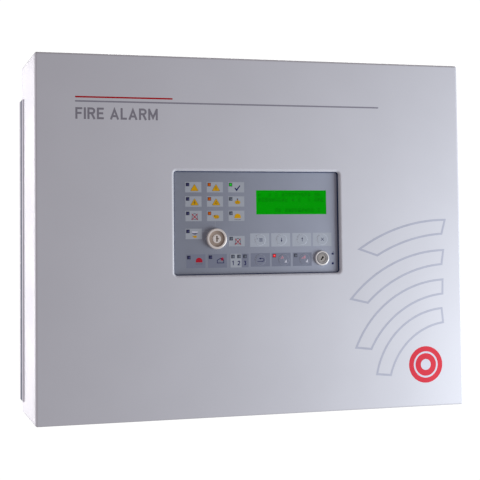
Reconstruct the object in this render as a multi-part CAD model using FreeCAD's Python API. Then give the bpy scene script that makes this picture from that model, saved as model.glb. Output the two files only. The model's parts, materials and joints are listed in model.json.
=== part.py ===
"""Wall-mounted fire alarm control panel, modelled as its separate pieces.

A deep folded cover hangs on a long hinge at the left rear edge of a shallow
back box. An indicator and key unit sits behind an opening in the cover, and
the back box carries the main board, the power supply and two batteries.

All sizes are in millimetres. +X is right, +Z is up, the front faces -Y, and
the wall lies in the plane y = 0, with the origin at the middle of the back.
"""
import FreeCAD, Part
import math
import os

from FreeCAD import Vector

# ---------------------------------------------------------------- driving dimensions
WIDTH = 450.0              # cover, left to right
HEIGHT = 360.0             # cover, bottom to top
DEPTH = 120.0              # wall to the cover's front face
SHEET = 1.5                # steel of the cover and the back box
BEND = 2.6                 # outside radius of the cover's front bends
WALL_GAP = 10.0            # wall to the cover's rear edge

BOX_SIDE_GAP = 4.5         # cover's inner face to the back box, all round
BOX_DEPTH = 45.0           # height of the back box's folded walls

HOLE_SPAN = (400.0, 300.0)  # wall holes, left to right and bottom to top
HOLE_D = 7.0

# opening in the cover, and the indicator unit behind it
OPEN_X = (-87.6, 87.6)
OPEN_Z = (-38.7, 65.3)
OPEN_R = 3.0               # corner radius of the opening
RIM_R = 2.8                # roll of the cover into the opening
RECESS = 5.0               # front face to the overlay
OVERLAY_T = 0.8
PLATE_T = 2.0
PLATE_MARGIN = 12.4        # plate beyond the opening, all round
BOARD_T = 1.6
STANDOFF = 8.7             # plate to display board

LCD_CENTRE = (37.0, 34.0)
LCD_WINDOW = (76.0, 24.6)
LCD_MODULE = (93.0, 58.0)
LCD_FRAME = (92.0, 38.0)

# lamps: square tops that fill square holes in the overlay
LAMP = 3.2
LAMP_OFFSET = (-5.9, 2.6)  # from the middle of a lamp's tile
COLUMN_X = (-66.8, -44.4, -22.0)
ROW_Z = (49.3, 34.9, 20.4)
SENSOR_TILE = (-66.8, 2.5)
CUTOFF_TILE = (-22.0, -5.2)
ALARM_LAMPS = ((-72.1, -21.0), (-49.7, -21.0))
ZONE_LAMPS = ((-26.2, -20.6), (-19.9, -20.6), (-13.6, -20.6))
SILENCED_LAMP = (17.7, -20.4)
EVACUATE_LAMP = (40.6, -20.4)

# keys: round caps that press a switch on the display board
KEY_D = 10.2
KEY_HOLE_D = 10.7
KEY_PROUD = 0.3
KEYS = {
    "button_menu": (2.9, -4.2),
    "button_down": (25.6, -4.2),
    "button_up": (48.0, -4.2),
    "button_cancel": (70.1, -4.2),
    "button_return": (2.9, -24.4),
    "button_silence": (27.9, -24.6),
    "button_evacuate": (50.7, -24.6),
}

# key switch and barrel lock
SWITCH_AT = (-43.5, -2.6)
SWITCH_RING_D = 20.7
SWITCH_FACE_D = 16.2
SWITCH_CORE_D = 7.3
LOCK_AT = (69.1, -23.6)
LOCK_COLLAR_D = 15.0
LOCK_BODY_D = 12.0
LOCK_CORE_D = 8.4
RUNNING = 0.1              # shaft fits: hole diameter over shaft diameter

# hinge
HINGE_X = -224.5
HINGE_Y = -6.0
HINGE_Z = (-167.0, 144.5)
KNUCKLE_D = 5.0
KNUCKLES = 11
PIN_D = 2.4
LEAF_T = 1.2

# ---------------------------------------------------------------- planes and edges
Y_FRONT = -DEPTH
Y_COVER_INNER = Y_FRONT + SHEET
Y_COVER_REAR = -WALL_GAP
Y_OVERLAY = Y_FRONT + RECESS
Y_PLATE = Y_OVERLAY + OVERLAY_T          # front face of the display plate
Y_PLATE_BACK = Y_PLATE + PLATE_T
Y_BOARD = Y_PLATE_BACK + STANDOFF        # front face of the display board
Y_BOARD_BACK = Y_BOARD + BOARD_T
Y_FLOOR = -SHEET                         # inner face of the back box's plate

HALF_W = WIDTH / 2
HALF_H = HEIGHT / 2
BOX_X = HALF_W - SHEET - BOX_SIDE_GAP
BOX_Z = HALF_H - SHEET - BOX_SIDE_GAP

PLATE_X = (OPEN_X[0] - PLATE_MARGIN, OPEN_X[1] + PLATE_MARGIN)
PLATE_Z = (OPEN_Z[0] - PLATE_MARGIN, OPEN_Z[1] + PLATE_MARGIN)
STUD_INSET = 4.0
PLATE_STUDS = [(x, z)
               for x in (PLATE_X[0] + STUD_INSET, PLATE_X[1] - STUD_INSET)
               for z in (PLATE_Z[0] + STUD_INSET, PLATE_Z[1] - STUD_INSET)]
DISPLAY_BOARD_X = (-92.0, 92.0)
DISPLAY_BOARD_Z = (-44.0, 71.0)
BOARD_POST_INSET = 4.0
BOARD_POSTS = [(x, z)
               for x in (DISPLAY_BOARD_X[0] + BOARD_POST_INSET, DISPLAY_BOARD_X[1] - BOARD_POST_INSET)
               for z in (DISPLAY_BOARD_Z[0] + BOARD_POST_INSET, DISPLAY_BOARD_Z[1] - BOARD_POST_INSET)]

LAMPS = {
    "lamps_fire": [(COLUMN_X[0] + LAMP_OFFSET[0], z + LAMP_OFFSET[1]) for z in ROW_Z]
    + [(SENSOR_TILE[0] + LAMP_OFFSET[0], SENSOR_TILE[1] + LAMP_OFFSET[1]), *ALARM_LAMPS],
    "lamps_fault": [(COLUMN_X[1] + LAMP_OFFSET[0], z + LAMP_OFFSET[1]) for z in ROW_Z],
    "lamps_status": [(COLUMN_X[2] + LAMP_OFFSET[0], z + LAMP_OFFSET[1]) for z in ROW_Z[1:]]
    + [(CUTOFF_TILE[0] + LAMP_OFFSET[0], CUTOFF_TILE[1] + LAMP_OFFSET[1]), *ZONE_LAMPS,
       EVACUATE_LAMP],
    "lamp_normal": [(COLUMN_X[2] + LAMP_OFFSET[0], ROW_Z[0] + LAMP_OFFSET[1])],
    "lamp_silenced": [SILENCED_LAMP],
}


# ---------------------------------------------------------------- helpers
def block(x, y, z):
    """A box from three (low, high) pairs."""
    return Part.makeBox(x[1] - x[0], y[1] - y[0], z[1] - z[0], Vector(x[0], y[0], z[0]))


def rod(at, diameter, y):
    """A cylinder along Y at (x, z), between two depths."""
    return Part.makeCylinder(diameter / 2, y[1] - y[0], Vector(at[0], y[0], at[1]), Vector(0, 1, 0))


def domed_rod(at, diameter, y, radius):
    """A cylinder along Y whose front edge is rounded."""
    shape = rod(at, diameter, y)
    return shape.makeFillet(radius, [e for e in shape.Edges if e.BoundBox.YMax < y[0] + 0.01])


def post(at, diameter, z):
    """A cylinder along Z at (x, y), between two heights."""
    return Part.makeCylinder(diameter / 2, z[1] - z[0], Vector(at[0], at[1], z[0]))


def square(at, side, y):
    """A square bar along Y, centred on (x, z)."""
    return block((at[0] - side / 2, at[0] + side / 2), y, (at[1] - side / 2, at[1] + side / 2))


def hexagon(at, across_flats, y):
    """A hexagonal bar along Y, centred on (x, z)."""
    radius = across_flats / math.sqrt(3)
    corners = [Vector(at[0] + radius * math.cos(math.radians(60 * i)), y[0],
                      at[1] + radius * math.sin(math.radians(60 * i))) for i in range(7)]
    return Part.Face(Part.makePolygon(corners)).extrude(Vector(0, y[1] - y[0], 0))


def centred(centre, size):
    """The (low, high) pairs in X and Z of a rectangle given by middle and size."""
    return tuple((c - s / 2, c + s / 2) for c, s in zip(centre, size))


def runs_along(edge, axis):
    """Whether a straight edge is parallel to a coordinate axis, named 'x', 'y' or 'z'."""
    if not isinstance(edge.Curve, Part.Line):
        return False
    return abs(getattr(edge.tangentAt(edge.FirstParameter), axis)) > 0.999


def round_corners(shape, radius, axis="y"):
    """Round every edge of a plain block that runs along one axis."""
    return shape.makeFillet(radius, [e for e in shape.Edges if runs_along(e, axis)])


def join(shapes):
    """Fuse shapes that meet into one clean solid."""
    return shapes[0].fuse(shapes[1:]).removeSplitter()


def tube_path(points):
    """Straight runs joined by tangent arcs, each as large as its two runs allow."""
    reach = 0.45
    edges, start = [], points[0]
    for before, corner, after in zip(points, points[1:], points[2:]):
        to_back, to_front = (before - corner), (after - corner)
        tangent = reach * min(to_back.Length, to_front.Length)
        to_back.normalize()
        to_front.normalize()
        enter, leave = corner + to_back * tangent, corner + to_front * tangent
        inner = (to_back + to_front).normalize()
        half_turn = (math.pi - to_back.getAngle(to_front)) / 2
        radius = tangent / math.tan(half_turn)
        middle = corner + inner * (radius / math.cos(half_turn) - radius)
        edges.append(Part.LineSegment(start, enter).toShape())
        edges.append(Part.Arc(enter, middle, leave).toShape())
        print(f"  bend radius {radius:.1f} mm")
        start = leave
    edges.append(Part.LineSegment(start, points[-1]).toShape())
    return Part.Wire(edges)


def lead(points, diameter):
    """A round insulated lead along a list of (x, y, z) points."""
    points = [Vector(*p) for p in points]
    section = Part.Wire(Part.Circle(points[0], points[1] - points[0], diameter / 2).toShape())
    path = tube_path(points)
    tube = path.makePipeShell([section], True, False)
    expected = math.pi * diameter ** 2 / 4 * path.Length
    print(f"  lead {path.Length:.0f} mm long, volume {tube.Volume / expected:.3f} of the expected")
    return tube


def save(name, *shapes):
    """Write the solids of one node to its own file."""
    solids = [solid for shape in shapes for solid in shape.Solids]
    for solid in solids:
        if not solid.isValid() or solid.Volume <= 0:
            raise ValueError(f"{name} has a faulty solid")
    out = solids[0] if len(solids) == 1 else Part.makeCompound(solids)
    out.exportStep(f"parts/{name}.step")
    print(f"{name}: {len(solids)} solid(s)")


# ---------------------------------------------------------------- the cover and its hinge
def front_cover():
    """Deep folded cover with a rolled opening and studs for the display plate."""
    outer = block((-HALF_W, HALF_W), (Y_FRONT, Y_COVER_REAR), (-HALF_H, HALF_H))
    outer = round_corners(outer, BEND)
    front_edges = [e for e in outer.Edges if e.BoundBox.YMax < Y_FRONT + 0.01]
    outer = outer.makeFillet(BEND - 0.2, front_edges)
    hollow = block((-HALF_W + SHEET, HALF_W - SHEET), (Y_COVER_INNER, Y_COVER_REAR + 1),
                   (-HALF_H + SHEET, HALF_H - SHEET))
    hollow = round_corners(hollow, BEND - SHEET)
    flange_end = Y_PLATE - 0.2
    collar = block((OPEN_X[0] - SHEET, OPEN_X[1] + SHEET), (Y_COVER_INNER, flange_end),
                   (OPEN_Z[0] - SHEET, OPEN_Z[1] + SHEET))
    collar = round_corners(collar, OPEN_R + SHEET)
    window = block(OPEN_X, (Y_FRONT - 1, flange_end + 1), OPEN_Z)
    window = round_corners(window, OPEN_R)
    shell = outer.cut(hollow).fuse(collar).cut(window).removeSplitter()
    rim = [e for e in shell.Edges
           if abs(e.BoundBox.YMin - Y_FRONT) < 0.01 and abs(e.BoundBox.YMax - Y_FRONT) < 0.01
           and e.BoundBox.XMin > OPEN_X[0] - 1 and e.BoundBox.XMax < OPEN_X[1] + 1
           and e.BoundBox.ZMin > OPEN_Z[0] - 1 and e.BoundBox.ZMax < OPEN_Z[1] + 1]
    shell = shell.makeFillet(RIM_R, rim)
    for at in PLATE_STUDS:
        shoulder = rod(at, 6.0, (Y_COVER_INNER - 0.5, Y_PLATE))
        shell = shell.fuse([shoulder, rod(at, 3.0, (Y_COVER_INNER, Y_PLATE_BACK + 5))])
    save("front_cover", shell.removeSplitter())


def knuckle_spans():
    """The (low, high) heights of the hinge's knuckles, from the bottom up."""
    pitch = (HINGE_Z[1] - HINGE_Z[0]) / KNUCKLES
    return [(HINGE_Z[0] + i * pitch, HINGE_Z[0] + (i + 1) * pitch) for i in range(KNUCKLES)]


def hinge():
    """Continuous hinge: one leaf on the cover, one on the back box, and the pin."""
    axis, slack = (HINGE_X, HINGE_Y), 0.25
    leaf_width, clear = 18.0, 0.7
    fold_x = -BOX_X
    cover_parts = [block((-HALF_W - LEAF_T, -HALF_W), (Y_COVER_REAR - leaf_width, Y_COVER_REAR + clear),
                         HINGE_Z)]
    box_parts = [block((fold_x - LEAF_T, fold_x), (HINGE_Y - leaf_width, HINGE_Y + KNUCKLE_D / 2), HINGE_Z)]
    for i, (low, high) in enumerate(knuckle_spans()):
        span = (low + slack, high - slack)
        barrel = post(axis, KNUCKLE_D, span)
        if i % 2:
            cover_parts += [barrel, block((-HALF_W - LEAF_T, -HALF_W), (Y_COVER_REAR, HINGE_Y), span)]
        else:
            bridge_y = (HINGE_Y + KNUCKLE_D / 2 - LEAF_T, HINGE_Y + KNUCKLE_D / 2)
            box_parts += [barrel, block((HINGE_X, fold_x), bridge_y, span)]
    save("hinge_leaf_door", join(cover_parts).cut(post(axis, PIN_D + RUNNING, (-HALF_H, HALF_H))))
    save("hinge_leaf_box", join(box_parts).cut(post(axis, PIN_D, (-HALF_H, HALF_H))))
    save("hinge_pin", post(axis, PIN_D, HINGE_Z))


# ---------------------------------------------------------------- indicator and key unit
def unit_holes(y, key_d, switch_d, lock_d):
    """Tools for the lamp, key, switch and lock holes through one layer of the unit."""
    lamps = [square(at, LAMP, y) for group in LAMPS.values() for at in group]
    keys = [rod(at, key_d, y) for at in KEYS.values()]
    return lamps + keys + [rod(SWITCH_AT, switch_d, y), rod(LOCK_AT, lock_d, y)]


def overlay_and_plate():
    """Printed front film, and the steel plate that it is stuck to."""
    film_gap = 0.8
    film_x = (OPEN_X[0] + film_gap, OPEN_X[1] - film_gap)
    film_z = (OPEN_Z[0] + film_gap, OPEN_Z[1] - film_gap)
    through = (Y_OVERLAY - 1, Y_PLATE_BACK + 1)
    holes = unit_holes(through, KEY_HOLE_D, SWITCH_FACE_D, LOCK_BODY_D)
    window_x, window_z = centred(LCD_CENTRE, LCD_WINDOW)
    film = round_corners(block(film_x, (Y_OVERLAY, Y_PLATE), film_z), OPEN_R - film_gap)
    save("overlay", film.cut(holes + [block(window_x, through, window_z)]))
    save("lcd_window", block(window_x, (Y_OVERLAY, Y_PLATE), window_z))

    plate = round_corners(block(PLATE_X, (Y_PLATE, Y_PLATE_BACK), PLATE_Z), 4.0)
    cutout = block((window_x[0] - 1, window_x[1] + 1), through, (window_z[0] - 1, window_z[1] + 1))
    stud_holes = [rod(at, 3.4, through) for at in PLATE_STUDS]
    save("display_plate", plate.cut(holes + stud_holes + [cutout]))
    save("display_plate_nuts", *[
        hexagon(at, 5.5, (Y_PLATE_BACK, Y_PLATE_BACK + 2.4)).cut(rod(at, 3.0, (Y_PLATE, Y_BOARD)))
        for at in PLATE_STUDS])


def lcd_module():
    """Character display: glass cell, steel frame and its own small board."""
    module_x, module_z = centred(LCD_CENTRE, LCD_MODULE)
    frame_x, frame_z = centred(LCD_CENTRE, LCD_FRAME)
    view_x, view_z = centred(LCD_CENTRE, (LCD_WINDOW[0] + 1.4, LCD_WINDOW[1] + 1.4))
    cell_x, cell_z = centred(LCD_CENTRE, (LCD_FRAME[0] - 4, LCD_FRAME[1] - 4))
    board_y = (Y_BOARD - 1.1 - BOARD_T, Y_BOARD - 1.1)
    cell_y = (Y_PLATE_BACK + 1.0, board_y[0])
    glass = join([block(cell_x, cell_y, cell_z), block(view_x, (Y_PLATE + 0.3, cell_y[0]), view_z)])
    save("lcd_glass", glass)
    frame = round_corners(block(frame_x, (Y_PLATE_BACK, board_y[0]), frame_z), 1.5)
    save("lcd_bezel", frame.cut(glass))
    board = round_corners(block(module_x, board_y, module_z), 1.0)
    save("lcd_board", board)


def display_board():
    """Board behind the plate, on posts, with its switches, lamps, buzzer and socket."""
    y = (Y_BOARD, Y_BOARD_BACK)
    through = (Y_BOARD - 1, Y_BOARD_BACK + 1)
    board = round_corners(block(DISPLAY_BOARD_X, y, DISPLAY_BOARD_Z), 2.0)
    holes = [rod(SWITCH_AT, SWITCH_FACE_D + 2, through), rod(LOCK_AT, LOCK_BODY_D + 2, through)]
    save("display_board", board.cut(holes + [rod(at, 2.5, through) for at in BOARD_POSTS]))
    save("display_board_spacers", *[
        hexagon(at, 5.0, (Y_PLATE_BACK, Y_BOARD)).cut(rod(at, 2.5, (Y_BOARD - 5, Y_BOARD + 1)))
        for at in BOARD_POSTS])
    save("display_board_screws", *[
        join([rod(at, 5.0, (Y_BOARD_BACK, Y_BOARD_BACK + 1.6)), rod(at, 2.5, (Y_BOARD - 5, Y_BOARD_BACK))])
        .cut(block((at[0] - 2, at[0] + 2), (Y_BOARD_BACK + 0.8, Y_BOARD_BACK + 2), (at[1] - 0.4, at[1] + 0.4)))
        for at in BOARD_POSTS])
    switch_top = Y_BOARD - 3.8
    save("tact_switches", *[
        square(at, 6.2, (switch_top, Y_BOARD)).cut(rod(at, 4.2, (switch_top - 1, Y_BOARD - 1.6)))
        for at in KEYS.values()])
    for name, places in LAMPS.items():
        save(name, *[join([square(at, LAMP - 0.1, (Y_OVERLAY, Y_BOARD - 2.5)),
                           square(at, LAMP + 0.8, (Y_BOARD - 2.5, Y_BOARD))]) for at in places])
    buzzer_at = (-60.0, 44.0)
    sounder = rod(buzzer_at, 24.0, (Y_BOARD_BACK, Y_BOARD_BACK + 9.5))
    save("buzzer", sounder.cut(rod(buzzer_at, 3.0, (Y_BOARD_BACK + 7.5, Y_BOARD_BACK + 10))))


def header(x, z, base_y, height, forward):
    """Ribbon socket: a shrouded header with its plug pushed in, standing off a board."""
    shroud_y = sorted((base_y, base_y + forward * height * 0.7))
    plug_y = sorted((base_y + forward * height * 0.3, base_y + forward * height))
    shroud = block(x, shroud_y, z)
    plug = block((x[0] + 1.2, x[1] - 1.2), plug_y, (z[0] + 2, z[1] - 2))
    return join([shroud, plug])


def buttons():
    """Seven round key caps, each with a collar behind the plate and a stem to its switch."""
    for name, at in KEYS.items():
        collar_front = Y_PLATE_BACK + 0.1
        cap = domed_rod(at, KEY_D, (Y_OVERLAY - KEY_PROUD, collar_front), 0.15)
        collar = rod(at, 12.6, (collar_front, collar_front + 0.8))
        stem = rod(at, 3.6, (collar_front + 0.8, Y_BOARD - 2.5))
        save(name, join([cap, collar, stem]))


# ---------------------------------------------------------------- key switch and lock
def key_switch():
    """Three-position key switch: ringed body, dark face, turning core, nut and contacts."""
    x, z = SWITCH_AT
    ring_front, face_front = Y_OVERLAY - 3.6, Y_OVERLAY - 2.2
    thread_end, block_end = Y_BOARD_BACK + 9.0, Y_BOARD_BACK + 21.0
    ring = domed_rod(SWITCH_AT, SWITCH_RING_D, (ring_front, Y_OVERLAY), 0.9)
    body = join([ring, rod(SWITCH_AT, SWITCH_FACE_D, (Y_OVERLAY, thread_end))])
    cup = rod(SWITCH_AT, SWITCH_FACE_D, (ring_front - 1, Y_OVERLAY - 1.0))
    core_bore = rod(SWITCH_AT, SWITCH_CORE_D + RUNNING, (ring_front - 1, block_end - 3))
    save("key_switch_body", body.cut([cup, core_bore]))
    save("key_switch_face", rod(SWITCH_AT, SWITCH_FACE_D, (face_front, Y_OVERLAY - 1.0)).cut(core_bore))
    save("key_switch_nut", hexagon(SWITCH_AT, 20.0, (Y_PLATE_BACK, Y_PLATE_BACK + 3))
         .cut(rod(SWITCH_AT, SWITCH_FACE_D, (Y_PLATE, Y_BOARD))))
    housing = round_corners(square(SWITCH_AT, 20.0, (thread_end, block_end)), 1.5)
    tabs = [block((x + dx - 0.4, x + dx + 0.4), (block_end - 0.5, block_end + 6), (z - 7, z - 2))
            for dx in (-6, 0, 6)]
    save("key_switch_contacts", join([housing.cut(core_bore), *tabs]))
    core = rod(SWITCH_AT, SWITCH_CORE_D, (face_front - 0.5, block_end - 4))
    slot = block((x - 0.9, x + 0.9), (face_front - 1, face_front + 5), (z - 2.9, z + 2.9))
    ward = block((x, x + 2.0), (face_front - 1, face_front + 5), (z - 0.7, z + 0.7))
    save("key_switch_core", core.cut([slot, ward]))


CAM_Y = (Y_BOARD_BACK + 14.4, Y_BOARD_BACK + 16.0)


def barrel_lock():
    """Barrel lock: collared body with its nut, a turning core and the cam on its rear end."""
    x, z = LOCK_AT
    collar_front = Y_OVERLAY - 2.2
    body_end = CAM_Y[0] - 1.0
    collar = domed_rod(LOCK_AT, LOCK_COLLAR_D, (collar_front, Y_OVERLAY), 0.7)
    body = join([collar, rod(LOCK_AT, LOCK_BODY_D, (Y_OVERLAY, body_end))])
    dish = rod(LOCK_AT, LOCK_BODY_D, (collar_front - 1, collar_front + 0.9))
    bore = rod(LOCK_AT, LOCK_CORE_D + RUNNING, (collar_front - 1, body_end + 1))
    save("lock_body", body.cut([dish, bore]))
    save("lock_nut", hexagon(LOCK_AT, 17.0, (Y_PLATE_BACK, Y_PLATE_BACK + 3))
         .cut(rod(LOCK_AT, LOCK_BODY_D, (Y_PLATE, Y_BOARD))))
    core = rod(LOCK_AT, LOCK_CORE_D, (collar_front + 0.5, CAM_Y[0]))
    drive = square(LOCK_AT, 5.0, (CAM_Y[0] - 0.5, CAM_Y[1] + 1.5))
    keyway = block((x - 0.7, x + 0.7), (collar_front, collar_front + 6), (z - 2.2, z + 2.2))
    keyway = keyway.fuse(rod((x, z + 1.0), 2.2, (collar_front, collar_front + 6)))
    keyway.rotate(Vector(x, 0, z), Vector(0, 1, 0), 38)
    save("lock_core", join([core, drive]).cut(keyway))
    reach, half = 16.0, 5.0
    arm = block((x - half, x + half), CAM_Y, (z - reach, z + half))
    arm = round_corners(arm, 2.0)
    save("lock_cam", arm.cut(square(LOCK_AT, 5.0, (CAM_Y[0] - 1, CAM_Y[1] + 1))))


def latch_bracket():
    """Bracket on the back box whose lip the lock's cam turns behind."""
    lip_y = (CAM_Y[0] - 0.5 - SHEET, CAM_Y[0] - 0.5)
    web_x = (48.0, 48.0 + SHEET)
    span = (-44.0, -4.0)
    foot = block((48.0, 62.0), (Y_FLOOR - SHEET, Y_FLOOR), span)
    web = block(web_x, (lip_y[0], Y_FLOOR), span)
    lip = block((48.0, 59.5), lip_y, span)
    save("latch_bracket", join([foot, web, lip]))


# ---------------------------------------------------------------- back box
GROMMET_Z = 150.0
GROMMET_X = [-150.0 + i * 300.0 / 7 for i in range(8)]


def back_box():
    """Shallow folded tray with wall holes and cable entries, and its rubber grommets."""
    outer = block((-BOX_X, BOX_X), (-BOX_DEPTH, 0), (-BOX_Z, BOX_Z))
    outer = round_corners(outer, 2.0)
    hollow = block((-BOX_X + SHEET, BOX_X - SHEET), (-BOX_DEPTH - 1, Y_FLOOR), (-BOX_Z + SHEET, BOX_Z - SHEET))
    tray = outer.cut(hollow)
    wall_holes = [rod((sx * HOLE_SPAN[0] / 2, sz * HOLE_SPAN[1] / 2), HOLE_D, (Y_FLOOR - 1, 1))
                  for sx in (-1, 1) for sz in (-1, 1)]
    entries = [rod((x, GROMMET_Z), 20.0, (Y_FLOOR - 1, 1)) for x in GROMMET_X]
    save("back_box", tray.cut(wall_holes + entries))
    grommets = []
    for x in GROMMET_X:
        at = (x, GROMMET_Z)
        grommets.append(join([rod(at, 20.0, (Y_FLOOR, 0)), rod(at, 25.0, (Y_FLOOR - 2.2, Y_FLOOR)),
                              rod(at, 16.0, (Y_FLOOR - 4.0, Y_FLOOR)), rod(at, 10.0, (Y_FLOOR - 5.5, Y_FLOOR))]))
    save("cable_grommets", *grommets)


MAIN_X = (-205.0, 45.0)
MAIN_Z = (-45.0, 125.0)
MAIN_STANDOFF = 8.0
MAIN_Y = (Y_FLOOR - MAIN_STANDOFF - BOARD_T, Y_FLOOR - MAIN_STANDOFF)
MAIN_TOP = MAIN_Y[0]       # component side of the main board
HEADER_X = (-196.0, -187.0)
HEADER_Z = (0.0, 34.0)
HEADER_H = 14.0


def terminal_block(x, z, y_back, ways, pitch=5.08):
    """Screw terminal block with a screw well and a cable mouth for each way."""
    width, tall, deep = ways * pitch, 10.0, 12.0
    body = block((x, x + width), (y_back - deep, y_back), (z, z + tall))
    wells = []
    for i in range(ways):
        middle = x + (i + 0.5) * pitch
        wells.append(rod((middle, z + 4.0), 3.4, (y_back - deep - 1, y_back - deep + 2.5)))
        wire_y = (y_back - deep + 4.5, y_back - deep + 9)
        wells.append(block((middle - 1.7, middle + 1.7), wire_y, (z + 6.5, z + 11)))
    return body.cut(wells)


def main_board():
    """Main board on spacers, with its terminals, relays, chips, capacitors and socket."""
    corners = [(x, z) for x in (MAIN_X[0] + 5, MAIN_X[1] - 5) for z in (MAIN_Z[0] + 5, MAIN_Z[1] - 22)]
    board = round_corners(block(MAIN_X, MAIN_Y, MAIN_Z), 2.0)
    save("main_board", board.cut([rod(at, 3.0, (MAIN_Y[0] - 1, MAIN_Y[1] + 1)) for at in corners]))
    save("main_board_spacers", *[
        hexagon(at, 6.0, (MAIN_Y[1], Y_FLOOR)).cut(rod(at, 3.0, (MAIN_Y[1] - 1, MAIN_Y[1] + 6)))
        for at in corners])
    save("main_board_screws", *[
        join([rod(at, 6.0, (MAIN_TOP - 2, MAIN_TOP)), rod(at, 3.0, (MAIN_TOP, MAIN_Y[1] + 6))])
        .cut(block((at[0] - 2.2, at[0] + 2.2), (MAIN_TOP - 3, MAIN_TOP - 1), (at[1] - 0.4, at[1] + 0.4)))
        for at in corners])
    ways, blocks, pitch = 5, 8, 30.0
    rows = [terminal_block(MAIN_X[0] + 5 + i * pitch, MAIN_Z[1] - 13, MAIN_TOP, ways) for i in range(blocks)]
    supply = terminal_block(70.0, PSU_Z[1] + 4, Y_FLOOR, 8, 7.5)
    battery = terminal_block(-60.0, MAIN_Z[0] + 4, MAIN_TOP, 4)
    save("terminal_blocks", *rows, supply, battery)
    save("relays", *[round_corners(block((x, x + 19), (MAIN_TOP - 15.5, MAIN_TOP), (82, 97.5)), 0.6)
                     for x in (-160, -130, -100, -70)])
    chips = [((-120, 20), 20), ((-80, 20), 14), ((-150, 40), 9), ((-150, 0), 9), ((-40, 50), 9), ((-40, 30), 9)]
    save("board_chips", *[square(at, side, (MAIN_TOP - 1.8, MAIN_TOP)) for at, side in chips])
    cans = [(-20, 10), (0, 10), (20, 10), (20, -14), (0, 84), (20, 84)]
    save("capacitors", *[domed_rod(at, 12.5, (MAIN_TOP - 20, MAIN_TOP), 0.8) for at in cans])
    save("main_header", header(HEADER_X, HEADER_Z, MAIN_TOP, HEADER_H, -1))


PSU_X = (65.0, 205.0)
PSU_Z = (-45.0, 85.0)
PSU_DEPTH = 50.0


def power_supply():
    """Slotted steel case of the power supply, and the fused mains terminal above it."""
    y = (Y_FLOOR - PSU_DEPTH, Y_FLOOR)
    case = block(PSU_X, y, PSU_Z)
    case = round_corners(case, 1.5, "z")
    slots = []
    for i in range(16):
        x = PSU_X[0] + 14 + i * 7.5
        for z in (-34.0, 2.0, 38.0):
            slots.append(block((x - 1.5, x + 1.5), (y[0] - 1, y[0] + 1.2), (z, z + 28)))
    save("psu_case", case.cut(slots))
    body = block((140, 198), (Y_FLOOR - 26, Y_FLOOR), (100, 124))
    wells = [rod((150 + i * 12.0, 106), 5.0, (Y_FLOOR - 27, Y_FLOOR - 20)) for i in range(3)]
    fuse = block((184, 196), (Y_FLOOR - 34, Y_FLOOR - 26), (101, 123))
    fuse = round_corners(fuse, 2.0)
    save("mains_terminal", join([body.cut(wells), fuse]))


BATTERY = (151.0, 65.0, 94.0)
BATTERY_X = (-155.0, -1.0)                  # left edges of the two batteries
SHELF_T = 1.2
SHELF_Z = -BOX_Z + SHEET
BATTERY_Z = SHELF_Z + SHELF_T
BATTERY_Y = (Y_FLOOR - 1.0 - BATTERY[1], Y_FLOOR - 1.0)
TAB_Y = BATTERY_Y[0] + 12.0
TAB_INSET = 14.0
TAB_TOP = BATTERY_Z + BATTERY[2] + 6.0


def batteries():
    """Two sealed batteries in their folded shelf."""
    for name, left in zip(("battery_left", "battery_right"), BATTERY_X):
        case = block((left, left + BATTERY[0]), BATTERY_Y, (BATTERY_Z, BATTERY_Z + BATTERY[2]))
        case = round_corners(case, 2.5, "z")
        groove_z = BATTERY_Z + BATTERY[2] - 9
        groove_x, groove_y = (left - 1, left + BATTERY[0] + 1), (BATTERY_Y[0] - 1, BATTERY_Y[1] + 1)
        groove = block(groove_x, groove_y, (groove_z, groove_z + 0.8))
        core = block((left + 0.8, left + BATTERY[0] - 0.8), (BATTERY_Y[0] + 0.8, BATTERY_Y[1] - 0.8),
                     (groove_z - 1, groove_z + 2))
        tabs = [block((x - 2.4, x + 2.4), (TAB_Y - 0.4, TAB_Y + 0.4), (TAB_TOP - 7, TAB_TOP))
                for x in (left + TAB_INSET, left + BATTERY[0] - TAB_INSET)]
        save(name, join([case.cut(groove.cut(core)), *tabs]))
    x = (BATTERY_X[0] - 4, BATTERY_X[1] + BATTERY[0] + 4)
    front = BATTERY_Y[0] - 1.0
    tray = block(x, (front - SHELF_T, Y_FLOOR), (SHELF_Z, SHELF_Z + 28))
    hollow = block((x[0] + SHELF_T, x[1] - SHELF_T), (front, Y_FLOOR + 1), (SHELF_Z + SHELF_T, SHELF_Z + 30))
    save("battery_shelf", tray.cut(hollow))


LEAD_D = 2.8
PLUG = (7.0, 4.0, 14.0)    # sleeve of a push-on tab connector


def tab_sleeve(x):
    """Sleeve over a battery tab."""
    sleeve = block((x - PLUG[0] / 2, x + PLUG[0] / 2), (TAB_Y - PLUG[1] / 2, TAB_Y + PLUG[1] / 2),
                   (TAB_TOP - 5, TAB_TOP - 5 + PLUG[2]))
    tab = block((x - 2.4, x + 2.4), (TAB_Y - 0.4, TAB_Y + 0.4), (TAB_TOP - 6, TAB_TOP))
    return sleeve.cut(tab)


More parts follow.
